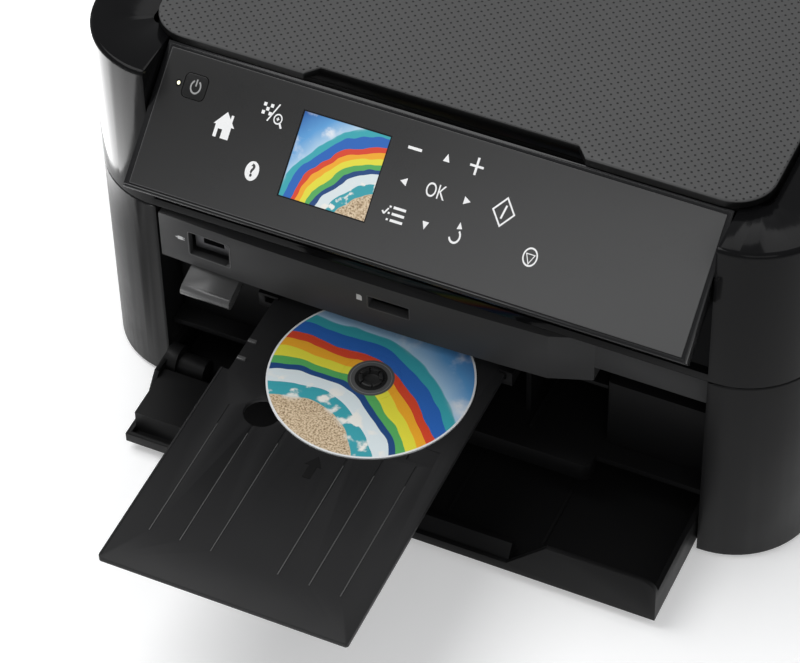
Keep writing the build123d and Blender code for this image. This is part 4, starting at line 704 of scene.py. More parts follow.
class Piece:
    """Mesh piece that is drawn with bmesh operators in millimetres and then put in the row frame."""

    def __init__(self, name: str, body: str, slot: str, finish: bpy.types.Material) -> None:
        """Start an empty piece that will ride on a body."""
        self.name, self.body, self.slot, self.finish = name, body, slot, finish
        self.mesh = bmesh.new()

    def disc(self, x: float, y: float, radius: float, sides: int = 32,
             squeeze: tuple[float, float] = (1.0, 1.0), turn: float = 0.0) -> list[bmesh.types.BMVert]:
        """Add a flat filled disc or regular polygon.

        Args:
            x: Its middle.
            y: Its middle.
            radius: Distance of its corners from the middle.
            sides: Number of sides.
            squeeze: Scale along X and Y, after the turn.
            turn: Angle in degrees; at 0 the first corner points up.

        Returns:
            Its corners.
        """
        place = (Matrix.Translation((x, y, 0.0)) @ Matrix.Diagonal((*squeeze, 1.0, 1.0))
                 @ Matrix.Rotation(radians(turn), 4, "Z"))
        made = bmesh.ops.create_circle(self.mesh, cap_ends=True, segments=sides, radius=radius, matrix=place)
        return made["verts"]

    def bar(self, start: tuple[float, float], end: tuple[float, float], width: float,
            z: float = 0.0) -> list[bmesh.types.BMVert]:
        """Add a flat straight stroke.

        Args:
            start: Middle of its one end.
            end: Middle of its other end.
            width: Its width.
            z: Its height, which differs a little for strokes that cross.

        Returns:
            Its corners.
        """
        a, b = Vector(start), Vector(end)
        along = b - a
        place = (Matrix.Translation((*((a + b) / 2), z))
                 @ Matrix.Rotation(along.angle_signed(Vector((1, 0))), 4, "Z")
                 @ Matrix.Diagonal((along.length / 2, width / 2, 1.0, 1.0)))
        return bmesh.ops.create_grid(self.mesh, x_segments=1, y_segments=1, size=1.0, matrix=place)["verts"]

    def arc(self, x: float, y: float, radius: float, width: float, start: float, span: float,
            stretch: float = 1.0) -> None:
        """Add a flat stroke along part of a circle, or a full ring.

        Args:
            x: The circle's middle.
            y: The circle's middle.
            radius: Radius of the stroke's middle line.
            width: Width of the stroke.
            start: Angle at which it starts, in degrees.
            span: Angle that it covers; 360 for a ring.
            stretch: Scale along Y.
        """
        turn = Matrix.Rotation(radians(start), 4, "Z")
        rims = (radius - width / 2, radius + width / 2)
        ends = [self.mesh.verts.new(turn @ Vector((rim, 0, 0))) for rim in rims]
        edge = self.mesh.edges.new(ends)
        known = set(self.mesh.verts) - set(ends)
        bmesh.ops.spin(self.mesh, geom=[edge, *ends], cent=(0, 0, 0), axis=(0, 0, 1), angle=radians(span),
                       steps=max(6, round(abs(span) / 12)), use_merge=abs(span) >= 360)
        fresh = [vert for vert in self.mesh.verts if vert not in known]
        place = Matrix.Translation((x, y, 0)) @ Matrix.Diagonal((1.0, stretch, 1.0, 1.0))
        bmesh.ops.transform(self.mesh, matrix=place, verts=fresh)

    def ring_of(self, verts: list[bmesh.types.BMVert], width: float) -> None:
        """Turn a flat face into a stroke along its edge.

        Args:
            verts: The face's corners.
            width: Width of the stroke.
        """
        face = verts[0].link_faces[0]
        face.normal_update()
        bmesh.ops.inset_region(self.mesh, faces=[face], thickness=width, use_even_offset=True,
                               use_boundary=True)
        bmesh.ops.delete(self.mesh, geom=[face], context="FACES")

    def round_off(self, geometry: list, offset: float, segments: int, affect: str = "EDGES") -> None:
        """Round some edges, or corners of a flat face."""
        bmesh.ops.bevel(self.mesh, geom=geometry, offset=offset, affect=affect, segments=segments,
                        profile=0.5, material=-1)

    def rounded(self, x: float, y: float, size: tuple[float, float],
                corner: float) -> list[bmesh.types.BMVert]:
        """Add a flat rectangle with rounded corners.

        Args:
            x: Its middle.
            y: Its middle.
            size: Its width and height.
            corner: Reach of the rounding along each side.

        Returns:
            Its corners.
        """
        verts = self.bar((x - size[0] / 2, y), (x + size[0] / 2, y), size[1])
        known = set(self.mesh.verts) - set(verts)
        self.round_off(verts, corner, 4, "VERTICES")
        return [vert for vert in self.mesh.verts if vert not in known]

    def rod(self, start: tuple[float, float, float], end: tuple[float, float, float], radius: float,
            squeeze: tuple[float, float] = (1.0, 1.0), sides: int = 24) -> None:
        """Add a round rod with softly domed ends.

        Args:
            start: Middle of its one end.
            end: Middle of its other end.
            radius: Its radius.
            squeeze: Scale of its round section along two axes.
            sides: Number of sides.
        """
        a, b = Vector(start), Vector(end)
        turn = (b - a).to_track_quat("Z", "Y").to_matrix().to_4x4()
        place = Matrix.Translation((a + b) / 2) @ turn @ Matrix.Diagonal((*squeeze, 1.0, 1.0))
        verts = bmesh.ops.create_cone(self.mesh, cap_ends=True, segments=sides, radius1=radius,
                                      radius2=radius, depth=(b - a).length, matrix=place)["verts"]
        rims = [edge for edge in {e for v in verts for e in v.link_edges}
                if any(len(face.verts) == sides for face in edge.link_faces)]
        self.round_off(rims, radius * 0.3, 3)

    def outline(self, points: list[tuple[float, float]]) -> None:
        """Add a flat face with a few corners."""
        self.mesh.faces.new([self.mesh.verts.new((x, y, 0.0)) for x, y in points])

    def block(self, x: tuple[float, float], y: tuple[float, float], z: tuple[float, float],
              rounding: float = 0.0) -> None:
        """Add a solid block.

        Args:
            x: Its low and high X.
            y: Its low and high Y.
            z: Its low and high Z.
            rounding: How far its edges are rounded.
        """
        size = (x[1] - x[0], y[1] - y[0], z[1] - z[0])
        middle = ((x[0] + x[1]) / 2, (y[0] + y[1]) / 2, (z[0] + z[1]) / 2)
        place = Matrix.Translation(middle) @ Matrix.Diagonal((*size, 1.0))
        verts = bmesh.ops.create_cube(self.mesh, size=1.0, matrix=place)["verts"]
        if rounding:
            self.round_off(list({edge for vert in verts for edge in vert.link_edges}), rounding, 2)

    def text(self, body: str, x: float, y: float, size: float, squeeze: tuple[float, float],
             bold: float = 0.0) -> None:
        """Add generic lettering.

        Args:
            body: The letters.
            x: Their middle.
            y: Their middle.
            size: Their size.
            squeeze: Scale along X and Y.
            bold: How much wider their strokes are made.
        """
        curve = bpy.data.curves.new(self.name + "_letters", "FONT")
        curve.offset = bold / 2
        curve.body, curve.size, curve.align_x, curve.align_y = body, size, "CENTER", "CENTER"
        holder = bpy.data.objects.new(self.name + "_letters", curve)
        letters = bpy.data.meshes.new_from_object(holder)
        letters.transform(Matrix.Translation((x, y, 0)) @ Matrix.Diagonal((*squeeze, 1.0, 1.0)))
        self.mesh.from_mesh(letters)
        bpy.data.objects.remove(holder)
        bpy.data.curves.remove(curve)
        bpy.data.meshes.remove(letters)

    def thicken(self, height: float) -> None:
        """Raise all flat faces into solid marks.

        Args:
            height: Height of the marks.
        """
        bmesh.ops.recalc_face_normals(self.mesh, faces=self.mesh.faces)
        down = [face for face in self.mesh.faces if face.normal.z < 0]
        bmesh.ops.reverse_faces(self.mesh, faces=down)
        undersides = extrude_copy(self.mesh, Vector((0, 0, height)))
        bmesh.ops.reverse_faces(self.mesh, faces=undersides)

    def finish_at(self, place: Matrix, onto: Landing | None = None) -> bpy.types.Object:
        """Turn the drawing into an object of the row frame that rides on its body.

        Args:
            place: Matrix from the drawing's frame, in metres, to the row frame.
            onto: Surface that flat marks are laid on, with their height.

        Returns:
            The object.
        """
        bmesh.ops.transform(self.mesh, matrix=place @ Matrix.Scale(MM, 4), verts=self.mesh.verts)
        if onto:
            onto.lay(self.mesh)
        bmesh.ops.recalc_face_normals(self.mesh, faces=self.mesh.faces)
        for face in self.mesh.faces:
            face.smooth = True
        data = bpy.data.meshes.new(self.name)
        self.mesh.to_mesh(data)
        self.mesh.free()
        data.set_sharp_from_angle(angle=radians(35))
        data.materials.append(self.finish)
        piece = add_object(self.name, data)
        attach(piece, self.body)
        LOG.info("piece %s: %d faces on %s", self.name, len(data.polygons), self.body)
        return piece


# ---- Finishes by material slot --------------------------------------------------------------------
FRONT_Y = -86.15 * MM
PANEL = Tilt((0.0, FRONT_Y + 30.6 * MM, 251.8 * MM), 50.0)
SCREEN_MIDDLE = (-53 * MM, -40.2 * MM)
SCREEN_SIZE = (53.2 * MM, 49.7 * MM)
DISC_CENTRE = (-20.2 * MM, FRONT_Y - 30.7 * MM)


def slot_finishes() -> dict[str, Finish]:
    """Choose the finish of each material slot of the record.

    Returns:
        Finishes by slot.
    """
    return {
        "satin_black": Moulded((0.009, 0.009, 0.0092), 0.34, specular=0.1),
        "gloss_black": Moulded((0.004, 0.004, 0.0043), 0.12, depth=0.002 * MM, specular=0.1),
        "lid_grey": DimpledLid(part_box("lid_cover")[1].z),
        "face_gloss": SmokedFacePaintedReflection(PANEL),
        "tray_black": Moulded((0.015, 0.015, 0.0155), 0.42, specular=0.14),
        "inner_black": Moulded((0.0045, 0.0045, 0.0047), 0.5, specular=0.1),
        "lever_grey": Moulded((0.07, 0.07, 0.07), 0.26, specular=0.45),
        "hub_grey": Moulded((0.02, 0.02, 0.02), 0.4),
        "disc_print": PrintedDisc(DISC_CENTRE),
        "screen": LitScreen(PANEL, SCREEN_MIDDLE, SCREEN_SIZE),
        "glass": ClearGlass(),
        "white_foam": FoamSheet(),
        "zinc_sheet": Metal((0.58, 0.59, 0.60), 0.34, spangle=0.35),
        "steel": Metal((0.62, 0.61, 0.60), 0.22),
        "chrome_rod": Metal((0.78, 0.78, 0.79), 0.08),
        "rubber_black": Rubber(),
        "gear_white": Moulded((0.72, 0.70, 0.64), 0.4, tone=0.05, specular=0.4),
        "board_green": CircuitBoard(),
        "ink_dark": Moulded((0.03, 0.03, 0.033), 0.35),
        "head_gold": Metal((0.80, 0.60, 0.30), 0.25),
        "engine_grey": Moulded((0.055, 0.055, 0.058), 0.5, grain=0.9 * MM),
    }


def node_finishes() -> dict[str, Finish]:
    """Choose the finishes of single nodes that differ from the rest of their slot.

    Returns:
        Finishes by node.
    """
    return {
        "front_bezel": Moulded((0.043, 0.043, 0.0435), 0.46, specular=0.12),
        "panel_housing": Moulded((0.006, 0.006, 0.0065), 0.16, depth=0.002 * MM, specular=0.3),
        "paper_drawer": Moulded((0.0065, 0.0065, 0.0067), 0.45, specular=0.12),
        "power_button": Moulded((0.012, 0.012, 0.012), 0.25, specular=0.2),
        "usb_socket": Metal((0.13, 0.13, 0.135), 0.35),
    }


@dataclass
class FrameDresser:
    """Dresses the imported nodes: a finish by slot, and a small broken edge that catches the light."""

    edge_breaks: dict[str, float] = field(default_factory=lambda: {
        "lower_housing": 1.1, "upper_housing": 0.5, "front_bezel": 0.9, "paper_drawer": 0.6,
        "paper_deck": 0.5, "bay_blocks": 0.5, "disc_tray": 0.35, "tray_guides": 0.4, "tray_lever": 0.3,
        "lid_cover": 0.4, "panel_housing": 0.35, "rear_cover": 0.4, "base_pan": 0.4,
        "print_carriage": 0.5, "disc_hub": 0.2, "edge_guide": 0.4, "capping_station": 0.4,
        "power_supply": 0.5, "scan_head": 0.4})
    soft_angle: dict[str, float] = field(
        default_factory=lambda: {"front_bezel": 12.0, "paper_drawer": 20.0})
    usual_angle: float = 32.0
    finishes: dict[str, bpy.types.Material] = field(default_factory=dict)

    def dress(self) -> None:
        """Give every node the finish of its slot."""
        for slot, finish in slot_finishes().items():
            self.finishes[slot] = finish.build(slot)
        for name, finish in node_finishes().items():
            self.finishes[name] = finish.build(name + "_finish")
        for row in frame["record"]["subparts"]:
            name, slot = row["node"], row["material_slot"]
            node = frame["nodes"][name]
            node.data.materials.clear()
            node.data.materials.append(self.finishes.get(name, self.finishes[slot]))
            angle = self.soft_angle.get(name, self.usual_angle)
            self.break_edges(node, self.edge_breaks.get(name, 0.0), angle)
            LOG.info("node %s: %s", name, slot)

    @staticmethod
    def break_edges(node: bpy.types.Object, width: float, angle: float) -> None:
        """Shade a node smooth between its sharp edges, and bevel those.

        Args:
            node: The node.
            width: Width of the bevel in millimetres, or 0 for none.
            angle: Angle in degrees from which an edge is sharp.
        """
        node.data.polygons.foreach_set("use_smooth", [True] * len(node.data.polygons))
        weld = node.modifiers.new("weld", "WELD")
        weld.merge_threshold = 0.001 * MM
        if width:
            bevel = node.modifiers.new("broken_edges", "BEVEL")
            bevel.width, bevel.segments, bevel.limit_method = width * MM, 2, "ANGLE"
            bevel.angle_limit = radians(angle)
            bevel.harden_normals = True
            bevel.use_clamp_overlap = True
        else:
            split = node.modifiers.new("sharp_edges", "EDGE_SPLIT")
            split.split_angle = radians(angle)


@dataclass
class Assembly:
    """Sub-assembly that gets modelled pieces. Its sizes are in millimetres."""

    finishes: dict[str, bpy.types.Material]

    def build(self) -> None:
        """Build the pieces."""
        raise NotImplementedError


# ---- Control panel --------------------------------------------------------------------------------
@dataclass
class ControlPanel(Assembly):
    """Marks, lamp and painted highlight bead of the control panel, in its own frame."""

    half_width: float = 165.35
    height: float = 86.0
    margin: float = 3.15
    face_z: float = 0.2
    mark: float = 0.06
    tall: float = 1.25
    lip_radius: float = 1.35
    lip_reach: float = 2.4
    lamp_radius: float = 0.95
    keys: dict[str, tuple[float, float]] = field(default_factory=lambda: {
        "home": (-121.9, -36.7), "view": (-97.0, -22.2), "help": (-97.9, -56.4), "minus": (-11.6, -18.2),
        "plus": (25.0, -17.5), "ok": (7.0, -37.3), "menu": (-9.3, -52.3), "back": (25.0, -57.2),
        "start": (47.3, -36.9), "stop": (69.1, -55.9), "power": (-144.7, -21.2), "lamp": (-155.3, -21.5)})
    arrows: tuple[tuple[float, float, int], ...] = (
        (7.5, -18.5, 0), (-11.6, -37.0, 90), (25.2, -37.1, 270), (7.0, -55.9, 180))

    def build(self) -> None:
        """Build the panel's pieces."""
        self.icons()
        self.question()
        self.power_symbol()
        self.lamp()
        self.bead()

    def place(self, lift: float) -> Matrix:
        """Matrix of drawings that lie lift millimetres above the face."""
        return PANEL.matrix() @ Matrix.Translation((0, 0, (self.face_z + lift) * MM))

    def icons(self) -> None:
        """White marks of the touch keys."""
        white = Ink((0.80, 0.80, 0.80), 0.12).build("white_ink")
        pen = Piece("panel_marks", "panel", "face_gloss", white)
        self.home(pen)
        self.view(pen)
        pen.disc(*self.keys["help"], 4.1, 40, squeeze=(1.0, 1.36))
        x, y = self.keys["minus"]
        pen.bar((x - 4.1, y), (x + 4.1, y), 1.6)
        x, y = self.keys["plus"]
        pen.bar((x - 4.0, y), (x + 4.0, y), 1.3)
        pen.bar((x, y + 4.9), (x, y - 4.9), 1.3, z=0.01)
        for x, y, turn in self.arrows:
            squeeze = (0.85, 1.15) if turn in (0, 180) else (1.0, 1.0)
            pen.disc(x, y, 2.6, 3, squeeze=squeeze, turn=turn)
        pen.text("OK", *self.keys["ok"], 9.4, (0.86, 1.22))
        self.menu(pen)
        x, y = self.keys["back"]
        pen.arc(x, y, 3.0, 1.0, 200, 215, self.tall)
        pen.disc(x + 1.2, y + 5.6, 2.0, 3, squeeze=(0.9, 1.3), turn=10)
        x, y = self.keys["start"]
        pen.ring_of(pen.disc(x, y, 7.6, 4, squeeze=(0.9, 1.14)), 0.95)
        pen.bar((x - 0.6, y - 3.9), (x + 0.8, y + 3.9), 1.1)
        x, y = self.keys["stop"]
        pen.arc(x, y, 3.9, 0.8, 0, 360, self.tall)
        pen.ring_of(pen.disc(x, y - 0.3, 3.3, 3, squeeze=(1.0, self.tall), turn=180), 0.5)
        pen.thicken(self.mark)
        pen.finish_at(self.place(0.0))

    def home(self, pen: Piece) -> None:
        """Draw a house with a doorway at its left.

        Args:
            pen: Piece that it is drawn in.
        """
        x, y = self.keys["home"]
        eaves, ground, door_top = y - 0.4, y - 7.6, y - 2.6
        door_left, door_right, wall_left = x - 2.8, x - 0.2, x - 4.8
        pen.outline([(x - 6.2, eaves), (x, y + 7.6), (x + 6.4, eaves)])
        pen.outline([(x + 4.6, eaves), (x + 4.6, ground), (door_right, ground), (door_right, eaves)])
        pen.outline([(door_right, eaves), (door_right, door_top), (door_left, door_top), (door_left, eaves)])
        pen.outline([(door_left, eaves), (door_left, ground), (wall_left, ground), (wall_left, eaves)])
        pen.bar((x + 3.6, y + 2.0), (x + 3.6, y + 6.4), 1.5, z=0.01)

    def view(self, pen: Piece) -> None:
        """Draw a grid of pictures, a slash and a magnifier.

        Args:
            pen: Piece that they are drawn in.
        """
        x, y = self.keys["view"]
        for column in range(3):
            for row in range(3):
                if (column + row) % 2 == 0:
                    cell_x, cell_y = x - 5.2 + 2.1 * column, y + 3.6 - 2.3 * row
                    pen.disc(cell_x, cell_y, 1.3, 4, squeeze=(1.0, 1.1), turn=45)
        pen.bar((x - 1.6, y - 5.2), (x + 3.2, y + 5.6), 0.8)
        lens_x, lens_y = x + 4.4, y - 2.6
        pen.arc(lens_x, lens_y, 2.3, 0.7, 0, 360, 1.15)
        pen.bar((x + 6.0, y - 4.6), (x + 7.6, y - 7.2), 1.1)
        pen.bar((lens_x - 0.9, lens_y), (lens_x + 0.9, lens_y), 0.6)
        pen.bar((lens_x, lens_y + 1.0), (lens_x, lens_y - 1.0), 0.6, z=0.01)

    def menu(self, pen: Piece) -> None:
        """Draw a ticked list.

        Args:
            pen: Piece that it is drawn in.
        """
        x, top = self.keys["menu"]
        for row in range(3):
            y = top - 3.6 * row
            pen.bar((x - 3.7, y), (x + 3.7, y), 1.5)
            pen.bar((x - 6.1, y), (x - 4.9, y), 1.1)
        pen.bar((x - 9.5, top - 3.1), (x - 8.2, top - 4.6), 0.9)
        pen.bar((x - 8.3, top - 4.7), (x - 6.3, top - 1.1), 0.9, z=0.01)

    def question(self) -> None:
        """Dark question mark on its disc."""
        pen = Piece("panel_question", "panel", "face_gloss", Ink((0.03, 0.03, 0.03)).build("dark_ink"))
        pen.text("?", *self.keys["help"], 8.8, (0.95, 1.12), 0.55)
        pen.thicken(0.04)
        pen.finish_at(self.place(self.mark))

    def power_symbol(self) -> None:
        """Open ring and stroke on the power button."""
        pen = Piece("power_mark", "button", "face_gloss", Ink((0.34, 0.34, 0.34)).build("grey_ink"))
        x, y = self.keys["power"]
        pen.arc(x, y, 2.9, 0.8, 120, 300, self.tall)
        pen.bar((x, y + 0.4), (x, y + 4.4), 0.8)
        pen.thicken(self.mark)
        pen.finish_at(self.place(0.3))

    def lamp(self) -> None:
        """Small lit lens left of the power button, in a dark cup."""
        glow = Ink((0.93, 0.90, 0.62), 1.1).build("lamp_glow")
        pen = Piece("power_lamp", "panel", "screen", glow)
        x, y = self.keys["lamp"]
        lens = Matrix.Translation((x, y, 0)) @ Matrix.Diagonal((1, 1.2, 0.35, 1))
        bmesh.ops.create_uvsphere(pen.mesh, u_segments=20, v_segments=10, radius=self.lamp_radius,
                                  matrix=lens)
        pen.finish_at(self.place(0.0))
        cup = Piece("power_lamp_cup", "panel", "inner_black", self.finishes["inner_black"])
        cup.arc(x, y, self.lamp_radius + 0.45, 0.7, 0, 360, 1.2)
        cup.thicken(0.12)
        cup.finish_at(self.place(0.0))

    def bead(self) -> None:
        """Fine lighter grey bead where the face plate meets its housing, a painted highlight of the plate's
        edge, and the housing's round lower lip.
        """
        # Painted highlight: a lighter grey strip round the face plate stands for the light caught by its
        # edge.
        pen = Piece("panel_bead", "panel", "lever_grey", self.finishes["lever_grey"])
        x, y0, y1 = self.half_width, self.margin - self.height, -self.margin
        pen.ring_of(pen.bar((-x, (y0 + y1) / 2), (x, (y0 + y1) / 2), y1 - y0), 0.4)
        pen.thicken(0.16)
        pen.finish_at(self.place(-0.1))
        lip = Piece("panel_lip", "panel", "gloss_black", self.finishes["panel_housing"])
        end = self.half_width + self.lip_reach
        lip.rod((-end, 0.0, 0.0), (end, 0.0, 0.0), self.lip_radius, squeeze=(1.0, 0.9))
        lip.finish_at(self.place(-0.55) @ Matrix.Translation((0, (1.45 - self.height) * MM, 0)))


# ---- Disc tray, bezel, lid, scanner, engine, drawer and rear ---------------------------------------
ROW = Matrix.Identity(4)


@dataclass
class DiscTray(Assembly):
    """Arrow, pins and ridges on the disc tray; the ridges are lighter grey, a painted highlight of its
    groove edges.
    """

    top: float = 96.7
    middle_x: float = -27.25
    half_width: float = 75.25
    disc_middle: tuple[float, float] = (-20.2, -30.7)
    clear_radius: float = 66.0
    ridge_y: tuple[float, float] = (-180.2, -96.0)
    ridge_shares: tuple[float, ...] = (-0.77, -0.52, -0.27, 0.27, 0.52, 0.77)
    arrow_at: tuple[float, float] = (-22.3, -104.5)
    pin_x: tuple[float, float] = (-97.2, -91.8)
    pin_rows: tuple[float, float] = (-46.6, -32.3)

    def build(self) -> None:
        """Build the tray's pieces."""
        place = Matrix.Translation((0, FRONT_Y, self.top * MM))
        # Painted highlight: the ridges are much lighter than the tray, standing for light caught by the
        # groove edges.
        light = Moulded((0.075, 0.075, 0.075), 0.4, specular=0.2).build("ridge_painted_highlight")
        ridges = Piece("tray_ridges", "tray", "tray_black", light)
        for share in self.ridge_shares:
            x = self.middle_x + share * self.half_width
            clear = max(0.0, self.clear_radius ** 2 - (x - self.disc_middle[0]) ** 2) ** 0.5
            back = min(self.ridge_y[1], self.disc_middle[1] - clear)
            ridges.block((x - 0.3, x + 0.3), (self.ridge_y[0], back), (-0.1, 0.16), 0.08)
        ridges.finish_at(place)
        arrow = Piece("tray_arrow", "tray", "inner_black", self.finishes["inner_black"])
        x, y = self.arrow_at
        neck, tail = y + 1.5, y - 8.0
        arrow.outline([(x, y + 9.0), (x - 5.0, neck), (x - 2.4, neck), (x - 2.4, tail), (x + 2.4, tail),
                       (x + 2.4, neck), (x + 5.0, neck)])
        arrow.thicken(0.2)
        arrow.finish_at(place)
        pins = Piece("tray_pins", "tray", "lever_grey", self.finishes["lever_grey"])
        for y in self.pin_rows:
            pins.block(self.pin_x, (y - 1.3, y + 1.3), (-1.2, 1.1), 0.5)
        pins.finish_at(place)


@dataclass
class Bezel(Assembly):
    """Lighter rims round the bezel's sockets, a painted highlight of their edges, and the plain signs beside
    them.
    """

    usb: tuple[float, float] = (-136.0, 126.0)
    usb_size: tuple[float, float] = (26.9, 18.4)
    card: tuple[float, float] = (-21.5, 127.5)
    card_size: tuple[float, float] = (25.9, 9.4)

    def build(self) -> None:
        """Build the bezel's pieces."""
        front = Matrix.Translation((0, -0.12, 0)) @ Matrix.Rotation(radians(90), 4, "X")
        # Painted highlight: lighter grey rims round the socket mouths stand for the light caught by their
        # edges.
        rim = Moulded((0.075, 0.075, 0.076), 0.3, specular=0.3).build("socket_rim_highlight")
        rims = Piece("socket_rims", "printer_base", "satin_black", rim)
        rims.ring_of(rims.rounded(*self.usb, (self.usb_size[0] + 1.0, self.usb_size[1] + 1.0), 2.2), 0.45)
        rims.ring_of(rims.rounded(*self.card, (self.card_size[0] + 0.9, self.card_size[1] + 0.9), 1.2), 0.4)
        rims.finish_at(front, Landing("front_bezel", Facing.BACKWARDS, 0.15 * MM))
        ink = Ink((0.55, 0.55, 0.55)).build("sign_ink")
        signs = Piece("socket_signs", "printer_base", "satin_black", ink)
        x, z = self.usb[0] - 18.4, self.usb[1] + 1.5
        signs.bar((x - 2.2, z), (x + 1.0, z), 2.6)
        for side in (-0.7, 0.7):
            signs.bar((x + 1.0, z + side), (x + 2.4, z + side), 0.5)
        signs.bar((x - 3.6, z), (x - 2.2, z), 0.7)
        x, z = self.card[0] - 18.2, self.card[1] + 1.2
        signs.outline([(x - 1.7, z - 2.2), (x + 1.7, z - 2.2), (x + 1.7, z + 1.2), (x + 0.7, z + 2.2),
                       (x - 1.7, z + 2.2)])
        signs.finish_at(front, Landing("front_bezel", Facing.BACKWARDS, 0.04 * MM))


@dataclass
class Lid(Assembly):
    """Foam sheet and bumpers under the lid."""

    corner: float = 6.0
    rim: float = 1.4
    crown: float = 0.5
    bumper_at: tuple[float, float] = (168.0, -30.0)
    bumper_z: tuple[float, float] = (245.1, 247.5)
    bumper_radius: float = 4.0

    def build(self) -> None:
        """Build the lid's pieces."""
        low, high = (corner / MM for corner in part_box("lid_pad"))
        foam = Piece("lid_foam", "lid", "white_foam", self.finishes["white_foam"])
        base = low.z + self.crown
        foam.block((low.x, high.x), (low.y, high.y), (base, high.z))
        foam.mesh.normal_update()
        face = min(foam.mesh.faces, key=lambda item: item.calc_center_median().z)
        for width, share in ((self.corner + 2, 0.5), (18.0, 0.3), (40.0, 0.2)):
            bmesh.ops.inset_region(foam.mesh, faces=[face], thickness=width, depth=self.crown * share,
                                   use_even_offset=True)
        upright = [edge for edge in foam.mesh.edges
                   if abs(edge.verts[0].co.z - edge.verts[1].co.z) > 1]
        foam.round_off(upright, self.corner, 6)
        rim = [edge for edge in foam.mesh.edges if all(abs(vert.co.z - base) < 0.01 for vert in edge.verts)
               and any(abs(face.normal.z) < 0.5 for face in edge.link_faces)]
        foam.round_off(rim, self.rim, 4)
        pad = foam.finish_at(ROW)
        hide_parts("lid_pad")
        bumpers = Piece("lid_bumpers", "lid", "rubber_black", self.finishes["rubber_black"])
        x, y = self.bumper_at
        for side in (-x, x):
            bumpers.rod((side, y, self.bumper_z[0]), (side, y, self.bumper_z[1]), self.bumper_radius)
        bumpers.finish_at(ROW)


@dataclass
class Scanner(Assembly):
    """Scale round the scanner's glass and the light bar of its head."""

    edge: tuple[float, float] = (-151.85, 3.75)
    pitch: float = 10.0
    marks: tuple[int, int] = (31, 22)
    gap: float = 1.6
    reach: float = 3.4
    long_reach: float = 5.0
    light_at: tuple[float, float] = (-133.0, 241.45)
    light_y: tuple[float, float] = (16.0, 211.0)

    def build(self) -> None:
        """Build the scanner's pieces."""
        scale = Piece("glass_marks", "scanner_unit", "inner_black", Ink((0.6, 0.6, 0.6)).build("scale_ink"))
        left, front = self.edge
        for count in range(self.marks[0]):
            x = left + 1.0 + self.pitch * count
            scale.bar((x, front - self.gap), (x, front - self.mark_end(count)), 0.35)
        for count in range(self.marks[1]):
            y = front + 1.0 + self.pitch * count
            scale.bar((left - self.gap, y), (left - self.mark_end(count), y), 0.35)
        scale.disc(left - 4.0, front - 4.0, 3.2, 3, turn=-45)
        surface = Landing("glass_frame", Facing.DOWNWARDS, 0.05 * MM)
        scale.finish_at(Matrix.Translation((0, 0, 0.25)), surface)
        guide = Ink((0.85, 0.88, 0.90), 0.25).build("light_guide")
        bar = Piece("scan_light", "sensor_bar", "white_foam", guide)
        x, z = self.light_at
        bar.rod((x, self.light_y[0], z), (x, self.light_y[1], z), 1.3, squeeze=(1.0, 0.3))
        bar.finish_at(ROW)

    def mark_end(self, count: int) -> float:
        """Distance from the glass to the outer end of a mark; every fifth one is long."""
        return self.reach if count % 5 else self.long_reach


@dataclass
class PrintEngine(Assembly):
    """Labels, papers and finger tabs of the six ink cartridges."""

    width: float = 13.6
    inks: tuple[tuple[str, Colour], ...] = (
        ("black", (0.02, 0.02, 0.02)), ("cyan", (0.0, 0.33, 0.62)), ("magenta", (0.62, 0.02, 0.20)),
        ("yellow", (0.85, 0.66, 0.02)), ("pale_cyan", (0.30, 0.62, 0.80)),
        ("pale_magenta", (0.82, 0.36, 0.50)))

    def build(self) -> None:
        """Build the engine's pieces."""
        low, high = (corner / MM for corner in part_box("ink_cartridges"))
        y, z = low.y, high.z
        pitch = (high.x - low.x - self.width) / (len(self.inks) - 1)
        tabs = Piece("cartridge_tabs", "carriage", "ink_dark", self.finishes["ink_dark"])
        paper = Piece("cartridge_papers", "carriage", "ink_dark",
                      Ink((0.75, 0.75, 0.73)).build("label_paper"))
        for count, (name, colour) in enumerate(self.inks):
            left = low.x + pitch * count
            right = left + self.width
            ink = Ink(colour).build(f"{name}_label")
            label = Piece(f"cartridge_label_{name}", "carriage", "ink_dark", ink)
            label.block((left + 2.2, right - 2.2), (y + 20, y + 44), (z - 0.05, z + 0.2), 0.08)
            label.block((left + 2.2, right - 2.2), (y - 0.2, y + 0.05), (z - 12, z - 4), 0.08)
            label.finish_at(ROW)
            paper.block((left + 1.6, right - 1.6), (y + 5, y + 50), (z - 0.05, z + 0.08), 0.03)
            for step in range(3):
                tab_y = y + 53 + 2.2 * step
                tabs.block((left + 2.4, right - 2.4), (tab_y, tab_y + 1.1), (z - 0.1, z + 0.9), 0.3)
        paper.finish_at(ROW)
        tabs.finish_at(ROW)


@dataclass
class Drawer(Assembly):
    """Paper width scale on the drawer's floor."""

    first_x: float = -70.0
    pitch: float = 8.0
    marks: int = 9
    mark_y: tuple[float, float] = (-66.0, -60.0)
    long_end_y: float = -57.0
    line_y: float = -68.0

    def build(self) -> None:
        """Build the drawer's pieces."""
        ink = Ink((0.22, 0.22, 0.22)).build("drawer_ink")
        scale = Piece("drawer_scale", "drawer", "tray_black", ink)
        start, end = self.mark_y
        for count in range(self.marks):
            x = self.first_x - self.pitch * count
            scale.bar((x, start), (x, end if count % 2 else self.long_end_y), 0.6)
        last_x = self.first_x - self.pitch * (self.marks - 1)
        scale.bar((last_x - 2.0, self.line_y), (self.first_x + 2.0, self.line_y), 0.5)
        surface = Landing("paper_drawer", Facing.DOWNWARDS, 0.05 * MM)
        scale.finish_at(Matrix.Translation((0, 0, 0.030)), surface)


